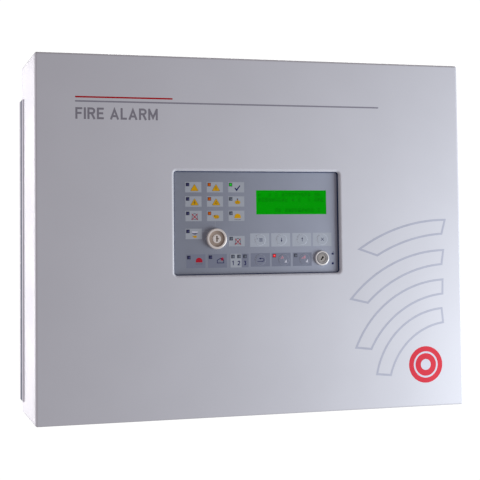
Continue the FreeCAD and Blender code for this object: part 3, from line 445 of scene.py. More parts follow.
class Finishes:
    """Every finish of the panel, made on first use."""

    LIST: tuple[Finish, ...] = (
        # Powder-coated steel, sprayed and baked: satin, with a soft orange peel.
        Finish("powder_coat", "DADCE3", 0.42, mottle=0.012, mottle_mm=60, grain_mm=1.6, relief_mm=0.010),
        # Galvanised sheet, folded: dull crystals of zinc.
        SpangledZinc("galvanised_sheet", "A6A9AB", 0.38, metallic=1.0, mottle=0.16,
                     wear=0.08, relief_mm=0.004),
        # Hinge, coated with the cover: the outer leaf carries a dark blue-grey band of painted shade.
        HingeStrip("coated_hinge_steel", "DCDBE2", 0.8, ior=1.15, mottle=0.012, mottle_mm=60, grain_mm=1.6),
        # Zinc-plated screws and nuts, bright.
        Finish("bright_zinc", "C4C4BE", 0.26, metallic=1.0, mottle=0.08, mottle_mm=3, grain_mm=0.4),
        # Polycarbonate film, printed on its rear and velvet-textured in front.
        # The film's colour is painted paler towards the right, as painted light from that side.
        PaintedLightFilm("velvet_film", "898F9D", 0.5, ior=1.58, mottle=0.02, mottle_mm=30,
                 grain_mm=0.5, relief_mm=0.004),
        Finish("film_light_tile", "AEB5BE", 0.5, ior=1.58, mottle=0.015, grain_mm=0.5, relief_mm=0.004),
        Finish("film_key_tile", "B2BAC5", 0.46, ior=1.58, mottle=0.015, grain_mm=0.5, relief_mm=0.004),
        Finish("film_dark_tile", "7E8497", 0.5, ior=1.58, mottle=0.015, grain_mm=0.5, relief_mm=0.004),
        # Lighter copies of the key tiles' film for the raised rims round the keys: painted highlight.
        Finish("film_key_rim_painted_highlight", "C6CDD8", 0.45, ior=1.58, mottle=0.02, grain_mm=0.5, relief_mm=0.004),
        Finish("film_dark_rim_painted_highlight", "9096A6", 0.45, ior=1.58, mottle=0.02, grain_mm=0.5, relief_mm=0.004),
        # Screen-printed inks: flat, slightly dry colours.
        Finish("ink_yellow", "DFAA08", 0.6, ior=1.2, mottle=0.05, mottle_mm=4, grain_mm=0.4),
        Finish("ink_red", "BA1A30", 0.6, ior=1.25, mottle=0.05, mottle_mm=4, grain_mm=0.4),
        Finish("ink_navy", "141C5A", 0.6, ior=1.25, mottle=0.08, mottle_mm=4, grain_mm=0.4),
        Finish("ink_grey", "565B6B", 0.55, mottle=0.05, mottle_mm=6, grain_mm=0.4),
        Finish("ink_white", "D8DAE6", 0.55, mottle=0.03, mottle_mm=4, grain_mm=0.4),
        Finish("ink_pink", "CC98A8", 0.55, mottle=0.05, mottle_mm=4, grain_mm=0.4),
        Finish("ink_brown", "6A4A12", 0.55, mottle=0.05, mottle_mm=4, grain_mm=0.4),
        Finish("ink_edge", "8A7B52", 0.55, mottle=0.05, mottle_mm=4, grain_mm=0.4),
        Finish("paint_stripe", "9493A0", 0.42, mottle=0.03, mottle_mm=10, grain_mm=1.0),
        Finish("powder_coat_inside", "D3D5DB", 0.45, mottle=0.012, mottle_mm=60,
               grain_mm=1.6, relief_mm=0.01),
        Finish("grey_header", "8E9196", 0.4, mottle=0.05, mottle_mm=8, grain_mm=0.5),
        Finish("ribbon_marker", "B03A34", 0.42, mottle=0.04, mottle_mm=6, grain_mm=0.5),
        Finish("ink_line", "AEB4BF", 0.5, mottle=0.03, mottle_mm=4, grain_mm=0.4),
        Finish("paint_red", "BE0010", 0.5, ior=1.2, mottle=0.03, mottle_mm=10, grain_mm=1.0),
        Finish("paint_badge_red", "DC2038", 0.45, ior=1.35, mottle=0.04, mottle_mm=8, grain_mm=1.0),
        Finish("paint_slate", "8D8B96", 0.42, mottle=0.03, mottle_mm=10, grain_mm=1.0),
        Finish("paint_mist", "B9BDCC", 0.42, mottle=0.03, mottle_mm=12, grain_mm=1.0),
        # Clear window of the film over the display, and the display itself.
        ClearSheet("clear_film", "0A120A", 0.2, ior=1.58, mottle=0.01, relief_mm=0.001, cover=0.02),
        BacklitDisplay("backlit_display", "009400", 0.6, ior=1.1, glow=1.0, origin_mm=(1.5, 23.3)),
        Finish("stoved_black_steel", "15171A", 0.35, mottle=0.1, grain_mm=0.6),
        SolderMask("green_solder_mask", "0E4A26", 0.32),
        # ABS and nylon mouldings, spark-eroded: fine even grain.
        Finish("black_moulding", "17181A", 0.45, mottle=0.1, mottle_mm=8, grain_mm=0.5, relief_mm=0.012),
        Finish("dark_lamp", "24275C", 0.5, mottle=0.1, mottle_mm=2, relief_mm=0.004),
        Finish("grey_lamp", "5F6775", 0.55, mottle=0.1, mottle_mm=2, relief_mm=0.004),
        LitPlastic("amber_lamp", "B05204", 0.45, ior=1.2, mottle=0.15, mottle_mm=2,
                   relief_mm=0.004, glow=0.3),
        LitPlastic("green_lamp_lit", "02900E", 0.45, ior=1.2, mottle=0.15, mottle_mm=2,
                   relief_mm=0.004, glow=0.45),
        LitPlastic("red_lamp_lit", "D40A16", 0.4, ior=1.3, mottle=0.15, mottle_mm=2,
                   relief_mm=0.004, glow=0.45),
        LitPlastic("green_lamp_core", "12B82C", 0.4, mottle=0.1, mottle_mm=2, relief_mm=0.004, glow=0.5),
        LitPlastic("red_lamp_core", "FF6A70", 0.4, mottle=0.1, mottle_mm=2, relief_mm=0.004, glow=0.5),
        # Dark blue-black for the lamps' bezels, also used as painted shade in screw slots, scores, grooves
        # and vent floors.
        Finish("lamp_bezel_and_painted_shade", "20243A", 0.4, mottle=0.1, mottle_mm=2, relief_mm=0.004),
        # Dark navy edge trim round the window, as painted shade for the opening's shaded walls and the dark
        # gap behind them.
        Finish("navy_painted_shade_trim", "0B2C5C", 0.5, mottle=0.1, mottle_mm=6, grain_mm=0.5, relief_mm=0.006),
        # Nickel-plated brass, turned.
        TurnedMetal("turned_nickel_switch", "F6F0EA", 0.36, metallic=0.4, mottle=0.05, mottle_mm=6,
                    centre_mm=SWITCH_CENTRE_MM, groove_mm=0.7, relief_mm=0.01),
        TurnedMetal("turned_nickel_lock", "F4F2F0", 0.34, metallic=0.4, mottle=0.05, mottle_mm=6,
                    centre_mm=LOCK_CENTRE_MM, groove_mm=0.7, relief_mm=0.01),
        TurnedMetal("bronzed_face", "AC9C8F", 0.42, metallic=0.25, mottle=0.1, mottle_mm=6,
                    centre_mm=SWITCH_CENTRE_MM, groove_mm=1.1, relief_mm=0.01),
        TurnedMetal("turned_nickel_core", "B4B1AD", 0.38, metallic=0.5, mottle=0.05, mottle_mm=6,
                    centre_mm=LOCK_CENTRE_MM, groove_mm=0.9, relief_mm=0.01),
        TurnedMetal("shaded_nickel", "A5A3A2", 0.4, metallic=0.5, mottle=0.05, mottle_mm=6,
                    centre_mm=LOCK_CENTRE_MM, groove_mm=0.7, relief_mm=0.01),
        Finish("natural_rubber", "1C1C1D", 0.7, mottle=0.12, mottle_mm=6, grain_mm=0.7, relief_mm=0.02),
        Finish("green_terminal_nylon", "1F7A45", 0.42, mottle=0.06, mottle_mm=10, grain_mm=0.5),
        Finish("grey_terminal_nylon", "8C9093", 0.45, mottle=0.06, mottle_mm=10, grain_mm=0.5),
        Finish("blue_relay_case", "234E8E", 0.35, mottle=0.05, mottle_mm=10, grain_mm=0.5),
        Finish("shrink_sleeve", "1A2030", 0.3, mottle=0.08, mottle_mm=5, grain_mm=0.6),
        Finish("ribbed_ribbon", "A3A6AB", 0.42, mottle=0.04, mottle_mm=6, grain_mm=0.5),
        Finish("battery_abs", "2C2E31", 0.5, mottle=0.08, mottle_mm=14, grain_mm=0.9, relief_mm=0.03),
        Finish("battery_lid", "3A3D41", 0.46, mottle=0.08, mottle_mm=14, grain_mm=0.9, relief_mm=0.03),
        Finish("red_pvc", "A5181C", 0.38, mottle=0.05, mottle_mm=6, grain_mm=0.5),
        Finish("black_pvc", "141416", 0.38, mottle=0.1, mottle_mm=6, grain_mm=0.5),
        StripedWire("earth_pvc", "C9C21A", 0.38, grain_mm=0.5, second="2C7A34"),
        Finish("tinned_copper", "C9C3B6", 0.3, metallic=1.0, mottle=0.08, mottle_mm=3, grain_mm=0.4),
        Finish("chip_ceramic", "C8B58C", 0.5, mottle=0.08, mottle_mm=3, grain_mm=0.4),
        Finish("paper_label", "D9DBD6", 0.6, mottle=0.03, mottle_mm=12, grain_mm=0.6),
    )

    def __init__(self) -> None:
        """Start with nothing made."""
        self._specs = {spec.name: spec for spec in self.LIST}
        self._made: dict[str, bpy.types.Material] = {}

    def get(self, name: str) -> bpy.types.Material:
        """Return a finish's material, making it the first time."""
        if name not in self._made:
            self._made[name] = self._specs[name].build()
        return self._made[name]


# ---------------------------------------------------------------------- flat shapes
def span(middle: float, half: float) -> Point:
    """The (low, high) pair about a middle."""
    return (middle - half, middle + half)


def arc(centre: Point, radius: float, start: float, end: float, steps: int = 16) -> Outline:
    """Points along an arc, angles in degrees, anticlockwise from +X."""
    angles = [math.radians(start + (end - start) * i / steps) for i in range(steps + 1)]
    return [(centre[0] + radius * math.cos(a), centre[1] + radius * math.sin(a)) for a in angles]


def disc(centre: Point, radius: float, steps: int = 32) -> Outline:
    """A full circle as an outline."""
    return arc(centre, radius, 0, 360, steps)[:-1]


def rectangle(x: Point, z: Point) -> Outline:
    """A rectangle from its (low, high) pairs."""
    return [(x[0], z[0]), (x[1], z[0]), (x[1], z[1]), (x[0], z[1])]


def stroke(points: Sequence[Point], width: float | Sequence[float], closed: bool = False) -> list[Outline]:
    """A line with a width, as one quad for each stretch, mitred where stretches meet.

    Args:
        points: The middle of the line.
        width: One width for all of it, or one for each point.
        closed: Whether the last point joins the first.

    Returns:
        The quads.
    """
    widths = [width] * len(points) if isinstance(width, (int, float)) else list(width)
    sides: list[tuple[Vector, Vector]] = []
    last = len(points) - 1
    for i, point in enumerate(points):
        here = Vector(point)
        before = (here - Vector(points[i - 1])).normalized() if i or closed else None
        after = (Vector(points[(i + 1) % len(points)]) - here).normalized() if i < last or closed else None
        along = ((before or after) + (after or before)).normalized()
        normal = Vector((-along.y, along.x))
        reach = widths[i] / 2
        if before and after:
            reach /= max(0.4, normal.dot(Vector((-before.y, before.x))))
        sides.append((here + normal * reach, here - normal * reach))
    pairs = [(sides[i], sides[(i + 1) % len(sides)]) for i in range(len(points) if closed else last)]
    return [[tuple(here[1]), tuple(there[1]), tuple(there[0]), tuple(here[0])] for here, there in pairs]


def ring(centre: Point, inner: float, outer: float, steps: int = 40) -> list[Outline]:
    """A flat ring as quads."""
    return stroke(disc(centre, (inner + outer) / 2, steps), outer - inner, closed=True)


def rounded(x: Point, z: Point, radius: float) -> Outline:
    """A rectangle with rounded corners, anticlockwise from its right side."""
    middles = ((x[1] - radius, z[1] - radius, 0), (x[0] + radius, z[1] - radius, 90),
               (x[0] + radius, z[0] + radius, 180), (x[1] - radius, z[0] + radius, 270))
    return [point for cx, cz, start in middles for point in arc((cx, cz), radius, start, start + 90, 6)]


def holed(x: Point, z: Point, centre: Point, radius: float, steps: int = 48) -> list[Outline]:
    """A rectangle with a round hole in it, as quads from the hole out to the sides.

    Args:
        x: Low and high side.
        z: Low and high side.
        centre: Middle of the hole, inside the rectangle.
        radius: The hole's radius.
        steps: How many angles to cut it at, besides the corners.

    Returns:
        The quads.
    """
    corners = [math.atan2(cz - centre[1], cx - centre[0]) for cx, cz in rectangle(x, z)]
    angles = sorted({round(a % (2 * math.pi), 6) for a in
                     corners + [2 * math.pi * i / steps for i in range(steps)]})
    rim, edge = [], []
    for angle in angles:
        dx, dz = math.cos(angle), math.sin(angle)
        reach = min(((x[1] if dx > 0 else x[0]) - centre[0]) / dx if abs(dx) > 1e-9 else math.inf,
                    ((z[1] if dz > 0 else z[0]) - centre[1]) / dz if abs(dz) > 1e-9 else math.inf)
        rim.append((centre[0] + radius * dx, centre[1] + radius * dz))
        edge.append((centre[0] + reach * dx, centre[1] + reach * dz))
    count = len(angles)
    return [[rim[i], edge[i], edge[(i + 1) % count], rim[(i + 1) % count]] for i in range(count)]


def windowed(x: Point, z: Point, windows: Iterable[tuple[Point, Point]]) -> list[Outline]:
    """A rectangle with rectangular windows left out, as a grid of cells."""
    windows = list(windows)
    xs = sorted({*x, *[v for w in windows for v in w[0] if x[0] < v < x[1]]})
    zs = sorted({*z, *[v for w in windows for v in w[1] if z[0] < v < z[1]]})
    cells = []
    for low_x, high_x in zip(xs, xs[1:]):
        for low_z, high_z in zip(zs, zs[1:]):
            middle = ((low_x + high_x) / 2, (low_z + high_z) / 2)
            if not any(w[0][0] < middle[0] < w[0][1] and w[1][0] < middle[1] < w[1][1] for w in windows):
                cells.append(rectangle((low_x, high_x), (low_z, high_z)))
    return cells


def moved(shapes: Iterable[Outline], offset: Point, scale: float = 1.0) -> list[Outline]:
    """Outlines scaled about the origin and then shifted."""
    return [[(px * scale + offset[0], pz * scale + offset[1]) for px, pz in s] for s in shapes]


class Builder:
    """Collects solid shapes into one mesh, in millimetres."""

    def __init__(self, name: str) -> None:
        """Start an empty mesh of this name."""
        self.name = name
        self.mesh = bmesh.new()

    def slab(self, outlines: Iterable[Outline], front: float, back: float) -> "Builder":
        """Add flat shapes facing -Y, between two depths.

        Args:
            outlines: Closed outlines in X and Z.
            front: The depth of the visible face, the lower Y.
            back: The depth of the hidden face.

        Returns:
            This builder.
        """
        for outline in outlines:
            near = [self.mesh.verts.new((px, front, pz)) for px, pz in outline]
            far = [self.mesh.verts.new((px, back, pz)) for px, pz in outline]
            self.mesh.faces.new(near)
            self.mesh.faces.new(far[::-1])
            for i in range(len(near)):
                j = (i + 1) % len(near)
                self.mesh.faces.new((near[j], near[i], far[i], far[j]))
        return self

    def box(self, x: Point, y: Point, z: Point, bevel: float = 0.0) -> "Builder":
        """Add a box from three (low, high) pairs, with its edges bevelled."""
        corners = [self.mesh.verts.new((px, py, pz)) for px in x for py in y for pz in z]
        quads = ((0, 1, 3, 2), (4, 6, 7, 5), (0, 4, 5, 1), (2, 3, 7, 6), (0, 2, 6, 4), (1, 5, 7, 3))
        faces = [self.mesh.faces.new([corners[i] for i in quad]) for quad in quads]
        if bevel:
            edges = list({edge for face in faces for edge in face.edges})
            bmesh.ops.bevel(self.mesh, geom=edges, offset=bevel, segments=2, affect="EDGES", profile=0.5)
        return self

    def turned(self, centre: Point, profile: Sequence[Point], steps: int = 32) -> "Builder":
        """Add a solid turned about an axis along Y.

        Args:
            centre: The axis, in X and Z.
            profile: (radius, depth) pairs from the front to the back.
            steps: Segments round the axis.

        Returns:
            This builder.
        """
        loops = []
        for radius, depth in profile:
            outline = disc(centre, max(radius, 1e-4), steps)
            loops.append([self.mesh.verts.new((px, depth, pz)) for px, pz in outline])
        for near, far in zip(loops, loops[1:]):
            for i in range(steps):
                j = (i + 1) % steps
                self.mesh.faces.new((near[j], near[i], far[i], far[j]))
        self.mesh.faces.new(loops[0])
        self.mesh.faces.new(loops[-1][::-1])
        return self

    def done(self, material: bpy.types.Material, body: str, slot: str,
             smooth: bool = False) -> bpy.types.Object:
        """Turn the mesh into a piece that rides on a body.

        Args:
            material: Its finish.
            body: The frame body that it moves with.
            slot: The record's material slot; not used.
            smooth: Whether the faces are shaded smooth by angle.

        Returns:
            The piece.
        """
        bmesh.ops.scale(self.mesh, vec=(MM, MM, MM), verts=self.mesh.verts)
        bmesh.ops.recalc_face_normals(self.mesh, faces=self.mesh.faces)
        data = bpy.data.meshes.new(self.name)
        self.mesh.to_mesh(data)
        self.mesh.free()
        data.materials.append(material)
        piece = bpy.data.objects.new(self.name, data)
        bpy.context.collection.objects.link(piece)
        if smooth:
            data.shade_smooth()
            data.set_sharp_from_angle(angle=math.radians(35))
        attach(piece, body)
        LOG.info("%s rides on %s", self.name, body)
        return piece


# ---------------------------------------------------------------------- printed signs
Sign = list[tuple[str, list[Outline]]]


class Mark(Enum):
    """What stands in a warning triangle, as the middle lines of its strokes."""

    NONE = ()
    BAR = (((0, 1.9), (0, -1.0)), ((0, -1.6), (0, -2.1)))
    SLASH = (((-1.4, -2.0), (0.7, 1.6)), ((0.3, -2.0), (1.5, -0.3)))
    FLASH = (((0.5, 1.9), (-0.7, -0.3), (0.7, -0.3), (-0.4, -2.2)),)


class Signs:
    """The small signs of the control film, each drawn about its own middle, in millimetres."""

    @staticmethod
    def triangle(mark: Mark = Mark.NONE) -> Sign:
        """A warning triangle with rounded corners and a mark in it.

        Args:
            mark: The mark.

        Returns:
            The sign.
        """
        def corners(size: float, radius: float) -> Outline:
            out: Outline = []
            for turn in (90, 210, 330):
                angle = math.radians(turn)
                at = (size * math.cos(angle) * 1.08, size * math.sin(angle) - 0.6)
                out += arc(at, radius, turn - 60, turn + 60, 6)
            return out
        sign: Sign = [("ink_edge", [corners(3.9, 0.75)]), ("ink_yellow", [corners(3.45, 0.6)])]
        lines = [quad for path in mark.value for quad in stroke(path, 0.62)]
        return sign + ([("ink_brown", lines)] if lines else [])

    @staticmethod
    def tick() -> Sign:
        """A tick in two strokes, thin at its ends."""
        return [("ink_navy", stroke([(-2.9, 0.3), (-0.9, -2.2), (3.1, 2.8)], [0.9, 1.5, 0.95]))]

    @staticmethod
    def bell() -> list[Outline]:
        """The outline of a bell dome with its rim."""
        dome = stroke([(-2.9, -2.4)] + arc((0, 0.5), 2.9, 180, 0, 16) + [(2.9, -2.4)], 0.62)
        return dome + stroke([(-3.9, -2.6), (3.9, -2.6)], 0.55)

    @staticmethod
    def cross(half: float, width: float) -> list[Outline]:
        """A diagonal cross."""
        return stroke([(-half, -half), (half, half)], width) + stroke([(-half, half), (half, -half)], width)

    @classmethod
    def silent_bell(cls) -> Sign:
        """A bell struck out in red."""
        return [("ink_grey", cls.bell()), ("ink_red", cls.cross(3.3, 0.7))]

    @staticmethod
    def hand(side: int = -1, with_dot: bool = False) -> Sign:
        """A pointing hand: a rounded palm, a finger and three knuckle lines.

        Args:
            side: -1 for a finger to the left, 1 to the right, 0 for one that points up.
            with_dot: Whether a dark dot stands above it.

        Returns:
            The sign.
        """
        palm = arc((1.3, 0), 1.75, -90, 90, 10) + arc((-1.1, 0), 1.75, 90, 270, 10)
        finger = rectangle((-0.55, 0.55), (1.2, 3.3)) if side == 0 else rectangle((-4.0, -1.2), (0.5, 1.45))
        knuckles = [quad for k in (-0.9, 0.2, 1.3) for quad in stroke([(k, -1.1), (k, 0.3)], 0.3)]
        sign: Sign = [("ink_edge", [arc((1.3, 0), 2.0, -90, 90, 10) + arc((-1.1, 0), 2.0, 90, 270, 10)]),
                      ("ink_yellow", [palm, finger]), ("ink_brown", knuckles)]
        return sign + ([("ink_navy", [disc((0, 3.5), 0.75, 12)])] if with_dot else [])

    @staticmethod
    def dome(finish: str) -> Sign:
        """A sounder dome with a line of dashes under it."""
        body = arc((0, -0.3), 3.6, 0, 180, 18) + [(-3.6, -1.6), (3.6, -1.6)]
        dashes = [rectangle((k, k + 1.1), (-3.5, -3.0)) for k in (-3.6, -2.0, -0.4, 1.2, 2.6)]
        return [(finish, [body]), ("ink_grey", dashes)]

    @staticmethod
    def detector() -> Sign:
        """A ceiling detector seen from its side, over a small hand."""
        head = [(-3.7, 3.3), (3.7, 3.3), (2.3, 0.9), (-2.3, 0.9)]
        line = stroke([(-2.9, 1.0), (2.9, 1.0)], 0.6) + stroke([(-1.4, 0.2), (1.4, 0.2)], 0.5)
        palm = arc((1.0, -2.6), 1.15, -90, 90, 8) + arc((-0.6, -2.6), 1.15, 90, 270, 8)
        return [("ink_white", [head]), ("ink_navy", line),
                ("ink_yellow", [palm, rectangle((-3.0, -1.2), (-2.3, -1.7))])]

    @staticmethod
    def house() -> Sign:
        """A house with a fire star at its corner."""
        walls = stroke([(-3.6, -2.5), (-3.6, 0.5), (0.2, 2.3), (3.5, 0.3), (3.5, -2.5)], 0.6, closed=True)
        star: Outline = []
        for k in range(16):
            reach = 2.3 if k % 2 == 0 else 1.25
            angle = 2 * math.pi * k / 16
            star.append((1.9 + reach * math.cos(angle), 1.5 + reach * math.sin(angle)))
        return [("ink_navy", walls), ("ink_red", [star])]

    @staticmethod
    def digit(number: int) -> Sign:
        """A zone number from 1 to 3."""
        paths = {
            1: [(-0.6, 1.3), (0.3, 2.1), (0.3, -2.1)],
            2: [(-1.1, 1.1), (-0.7, 1.9), (0.5, 2.0), (1.0, 1.1), (0.7, 0.3), (-1.1, -2.0), (1.2, -2.0)],
            3: [(-1.0, 1.8), (0.5, 2.0), (1.0, 1.1), (0.1, 0.2), (1.1, -0.8), (0.6, -1.9), (-1.0, -1.9)],
        }
        return [("ink_navy", stroke(paths[number], 0.75))]

    @staticmethod
    def listing() -> Sign:
        """A menu: three lines and a dash."""
        lines = [q for k in (1.3, 0.0, -1.3) for q in stroke([(-1.3, k), (2.6, k)], 0.6)]
        return [("ink_navy", lines + stroke([(-4.0, 1.2), (-3.0, 1.2)], 0.6))]

    @staticmethod
    def arrow(up: bool) -> Sign:
        """A short arrow up or down."""
        way = 1 if up else -1
        shaft = rectangle((-0.28, 0.28), (-2.1, 2.1))
        return [("ink_navy", [shaft, [(-1.0, 0.7 * way), (1.0, 0.7 * way), (0, 2.6 * way)]])]

    @classmethod
    def cancel(cls) -> Sign:
        """A small cross."""
        return [("ink_navy", cls.cross(1.6, 0.5))]

    @staticmethod
    def hook() -> Sign:
        """A return arrow that hooks back."""
        path = [(-3.6, -1.7), (2.4, -1.7)] + arc((2.4, -0.1), 1.6, -90, 90, 8) + [(0.0, 1.5)]
        return [("ink_navy", stroke(path, 0.62) + [[(-1.6, 1.5), (0.3, 0.4), (0.3, 2.6)]])]

    @staticmethod
    def sounder_pair(strong: bool) -> Sign:
        """Two small triangles, one pink over one white, divided by a bar."""
        pink = [(-4.5, 0.7), (0.8, 1.0), (0.5, 4.8)] if strong else [(-3.9, 1.0), (0.1, 1.6), (-1.8, 4.7)]
        white = [(0.6, -3.1), (3.6, -3.6), (3.4, 0.4)] if strong else [(0.3, -2.9), (3.3, -3.5), (3.1, 0.3)]
        bar = stroke([(-2.2, 3.4), (1.5, -3.6)] if strong else [(-2.8, 3.1), (1.8, -2.2)], 0.3)
        return [("ink_pink", [pink]), ("ink_white", [white]), ("ink_line", bar)]

    @staticmethod
    def padlock(shut: bool) -> Sign:
        """A padlock, shut or with its bow swung open."""
        bow = arc((0, 0.5) if shut else (0.8, 0.9), 0.6, 0, 180, 8)
        return [("ink_navy", [rectangle((-0.95, 0.95), (-1.0, 0.5))] + stroke(bow, 0.32))]


@dataclass
class ControlFilm:
    """The printed film in the cover's window: tiles, signs, key rims and guide lines."""

    finishes: Finishes
    column_x: tuple[float, ...] = (-66.8, -44.4, -22.0)
    row_z: tuple[float, ...] = (49.3, 34.9, 20.4)
    tile: Point = (16.8, 10.4)
    sensor_tile: Point = (-66.8, 2.5)
    cutoff_tile: Point = (-22.0, -5.2)
    alarm_tiles: tuple[Point, ...] = ((-64.8, -24.8), (-42.5, -24.8))
    zone_tile: Point = (-19.6, -24.8)
    wide_tile: Point = (19.7, 13.7)
    light_keys: tuple[tuple[str, float], ...] = (
        ("menu", 2.3), ("down", 24.8), ("up", 47.5), ("cancel", 69.9))
    dark_keys: tuple[tuple[str, float], ...] = (("return", 2.8), ("silence", 25.1), ("evacuate", 47.8))
    key_rows: Point = (-4.3, -24.4)
    key_tile: Point = (20.5, 13.7)
    hole: float = 10.7
    lamp_half: float = 1.65     # half the width of the clear window over a lamp
    lens: tuple[Point, ...] = ((0.35, -0.36), (0.85, -0.28), (1.2, -0.12), (1.34, 0.02))
    padlocks: tuple[Point, ...] = ((81.2, -19.0), (81.2, -29.1))
    ink: float = 0.03           # thickness of each printed layer
    sign_shift: Point = (1.2, -0.9)
    lamps: dict[str, tuple[Point, ...]] = field(default_factory=lambda: {
        "lamps_fire": ((-72.7, 51.9), (-72.7, 37.5), (-72.7, 23.0), (-72.7, 5.1), (-72.1, -21.0),
                       (-49.7, -21.0)),
        "lamps_fault": ((-50.3, 51.9), (-50.3, 37.5), (-50.3, 23.0)),
        "lamps_status": ((-27.9, 37.5), (-27.9, 23.0), (-27.9, -2.6), (-26.2, -20.6), (-19.9, -20.6),
                         (-13.6, -20.6), (40.6, -20.4)),
        "lamp_normal": ((-27.9, 51.9),), "lamp_silenced": ((17.7, -20.4),)})
    layers: dict[str, list[Outline]] = field(default_factory=dict)

    @property
    def front(self) -> float:
        """Depth of the film's face."""
        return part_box("overlay")[0].y / MM

    def add(self, finish: str, shapes: Iterable[Outline]) -> None:
        """Put outlines on a finish's layer."""
        self.layers.setdefault(finish, []).extend(shapes)

    def put(self, sign: Sign, at: Point, scale: float = 1.0) -> None:
        """Put a sign on the film with its middle at a place."""
        for finish, shapes in sign:
            self.add(finish, moved(shapes, at, scale))

    def plain_tile(self, centre: Point, size: Point, finish: str, lamps: Iterable[Point] = ()) -> None:
        """Print a tile, leaving the lamps' small windows clear."""
        windows = [(span(x, self.lamp_half), span(z, self.lamp_half)) for x, z in lamps]
        self.add(finish, windowed(span(centre[0], size[0] / 2), span(centre[1], size[1] / 2), windows))

    def build(self) -> None:
        """Print the whole film."""
        self.status_tiles()
        self.alarm_row()
        self.guide_lines()
        self.keys()
        self.lock_signs()
        self.lamp_faces()
        self.window_trim()
        self.layer_up()

    def status_tiles(self) -> None:
        """The light tiles beside the lamps."""
        lamp = (-5.9, 2.6)
        signs = {
            (0, 0): Signs.triangle(), (1, 0): Signs.triangle(Mark.BAR), (2, 0): Signs.tick(),
            (0, 1): Signs.triangle(Mark.FLASH), (1, 1): Signs.triangle(Mark.SLASH),
            (2, 1): Signs.hand(0, True),
            (0, 2): Signs.silent_bell(), (1, 2): Signs.hand(-1), (2, 2): Signs.dome("ink_yellow"),
        }
        for (column, row), sign in signs.items():
            at = (self.column_x[column], self.row_z[row])
            self.plain_tile(at, self.tile, "film_light_tile", [(at[0] + lamp[0], at[1] + lamp[1])])
            self.put(sign, (at[0] + self.sign_shift[0], at[1] + self.sign_shift[1]), 0.92)
        for at, sign in ((self.sensor_tile, Signs.detector()), (self.cutoff_tile, Signs.silent_bell())):
            self.plain_tile(at, self.tile, "film_light_tile", [(at[0] + lamp[0], at[1] + lamp[1])])
            self.put(sign, (at[0] + self.sign_shift[0], at[1] + self.sign_shift[1] + 0.4), 0.92)

    def alarm_row(self) -> None:
        """The dark tiles of the lowest row, with the numbered zones."""
        for at, sign in zip(self.alarm_tiles, (Signs.dome("ink_red"), Signs.house())):
            self.plain_tile(at, self.wide_tile, "film_dark_tile", [(at[0] - 7.2, at[1] + 3.8)])
            self.put(sign, (at[0] + 3.3, at[1] + 0.3), 0.95)
        zones = self.lamps["lamps_status"][3:6]
        x, z = self.zone_tile
        low, high = z - self.wide_tile[1] / 2, z + self.wide_tile[1] / 2
        self.plain_tile((-23.05, z), (11.7, self.wide_tile[1]), "film_light_tile", zones[:2])
        for left, right in ((x - self.wide_tile[0] / 2, -28.9), (-17.2, x + self.wide_tile[0] / 2)):
            inside = [(span(zx, self.lamp_half), span(zz, self.lamp_half))
                      for zx, zz in zones if left < zx < right]
            self.add("film_dark_tile", windowed((left, right), (low, high), inside))
        for number, (zx, _) in enumerate(zones, start=1):
            self.put(Signs.digit(number), (zx, -27.3), 0.95)

    def lamp_faces(self) -> None:
        """A dark bezel and a small domed lens on each lamp."""
        finishes = {"lamps_fire": "dark_lamp", "lamps_status": "grey_lamp", "lamps_fault": "amber_lamp",
                    "lamp_normal": "green_lamp_lit", "lamp_silenced": "red_lamp_lit"}
        bezels = Builder("lamp_bezels")
        for node, places in self.lamps.items():
            lenses = Builder(node.replace("lamp", "lens", 1))
            for at in places:
                frame = stroke(rectangle(span(at[0], 1.6), span(at[1], 1.6)), 0.36, closed=True)
                bezels.slab(frame, self.front - self.ink * 3, self.front + self.ink)
                lenses.turned(at, [(radius, self.front + depth) for radius, depth in self.lens], 20)
            slot = finishes[node].removesuffix("_lit")
            lenses.done(self.finishes.get(finishes[node]), "door", slot, smooth=True)
            if finishes[node].endswith("_lit"):
                core = Builder(node.replace("lamp", "lens_core", 1))
                middle = (places[0][0] - 0.2, places[0][1] + 0.2)
                core.turned(middle, [(0.5, self.front - 0.4), (0.75, self.front)], 20)
                core.done(self.finishes.get(f"{slot}_core"), "door", slot)
        bezels.done(self.finishes.get("lamp_bezel_and_painted_shade"), "door", "printed_film")

    def window_trim(self) -> None:
        """A thin dark navy trim between the film and the cover's opening: painted shade for the opening's
        shaded walls and the gap behind them.
        """
        (low, high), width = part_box("overlay"), 0.72
        x, z = (low.x / MM - 0.76, high.x / MM + 0.76), (low.z / MM - 0.76, high.z / MM + 0.76)
        radius = 2.95
        outer = rounded(x, z, radius)
        inner = rounded((x[0] + width, x[1] - width), (z[0] + width, z[1] - width), radius - width)
        count = len(outer)
        quads = [[inner[i], outer[i], outer[(i + 1) % count], inner[(i + 1) % count]] for i in range(count)]
        trim = Builder("window_trim")
        for quad in quads:
            # Painted shade: on the right, where the opening's shaded wall shows widest, the trim stands
            # further proud.
            on_right = min(px for px, _ in quad) > x[1] - radius
            trim.slab([quad], self.front - (1.9 if on_right else 0.9), self.front + 0.75)
        trim.done(self.finishes.get("navy_painted_shade_trim"), "door", "rubber")

    def guide_lines(self) -> None:
        """Thin light lines that tie the key switch to what it works on."""
        centre = SWITCH_CENTRE_MM
        x = centre[0] - 0.9
        up = stroke([(x, centre[1] + 9), (x, self.row_z[2] - self.tile[1] / 2)], 0.35)
        left = stroke([(self.sensor_tile[0] + 8.4, 4.6), (centre[0] - 8, 4.6)], 0.35)
        right = stroke([(centre[0] + 9, -2.9), (self.cutoff_tile[0] - 8.4, -2.9)], 0.35)
        self.add("ink_line", up + left + right)

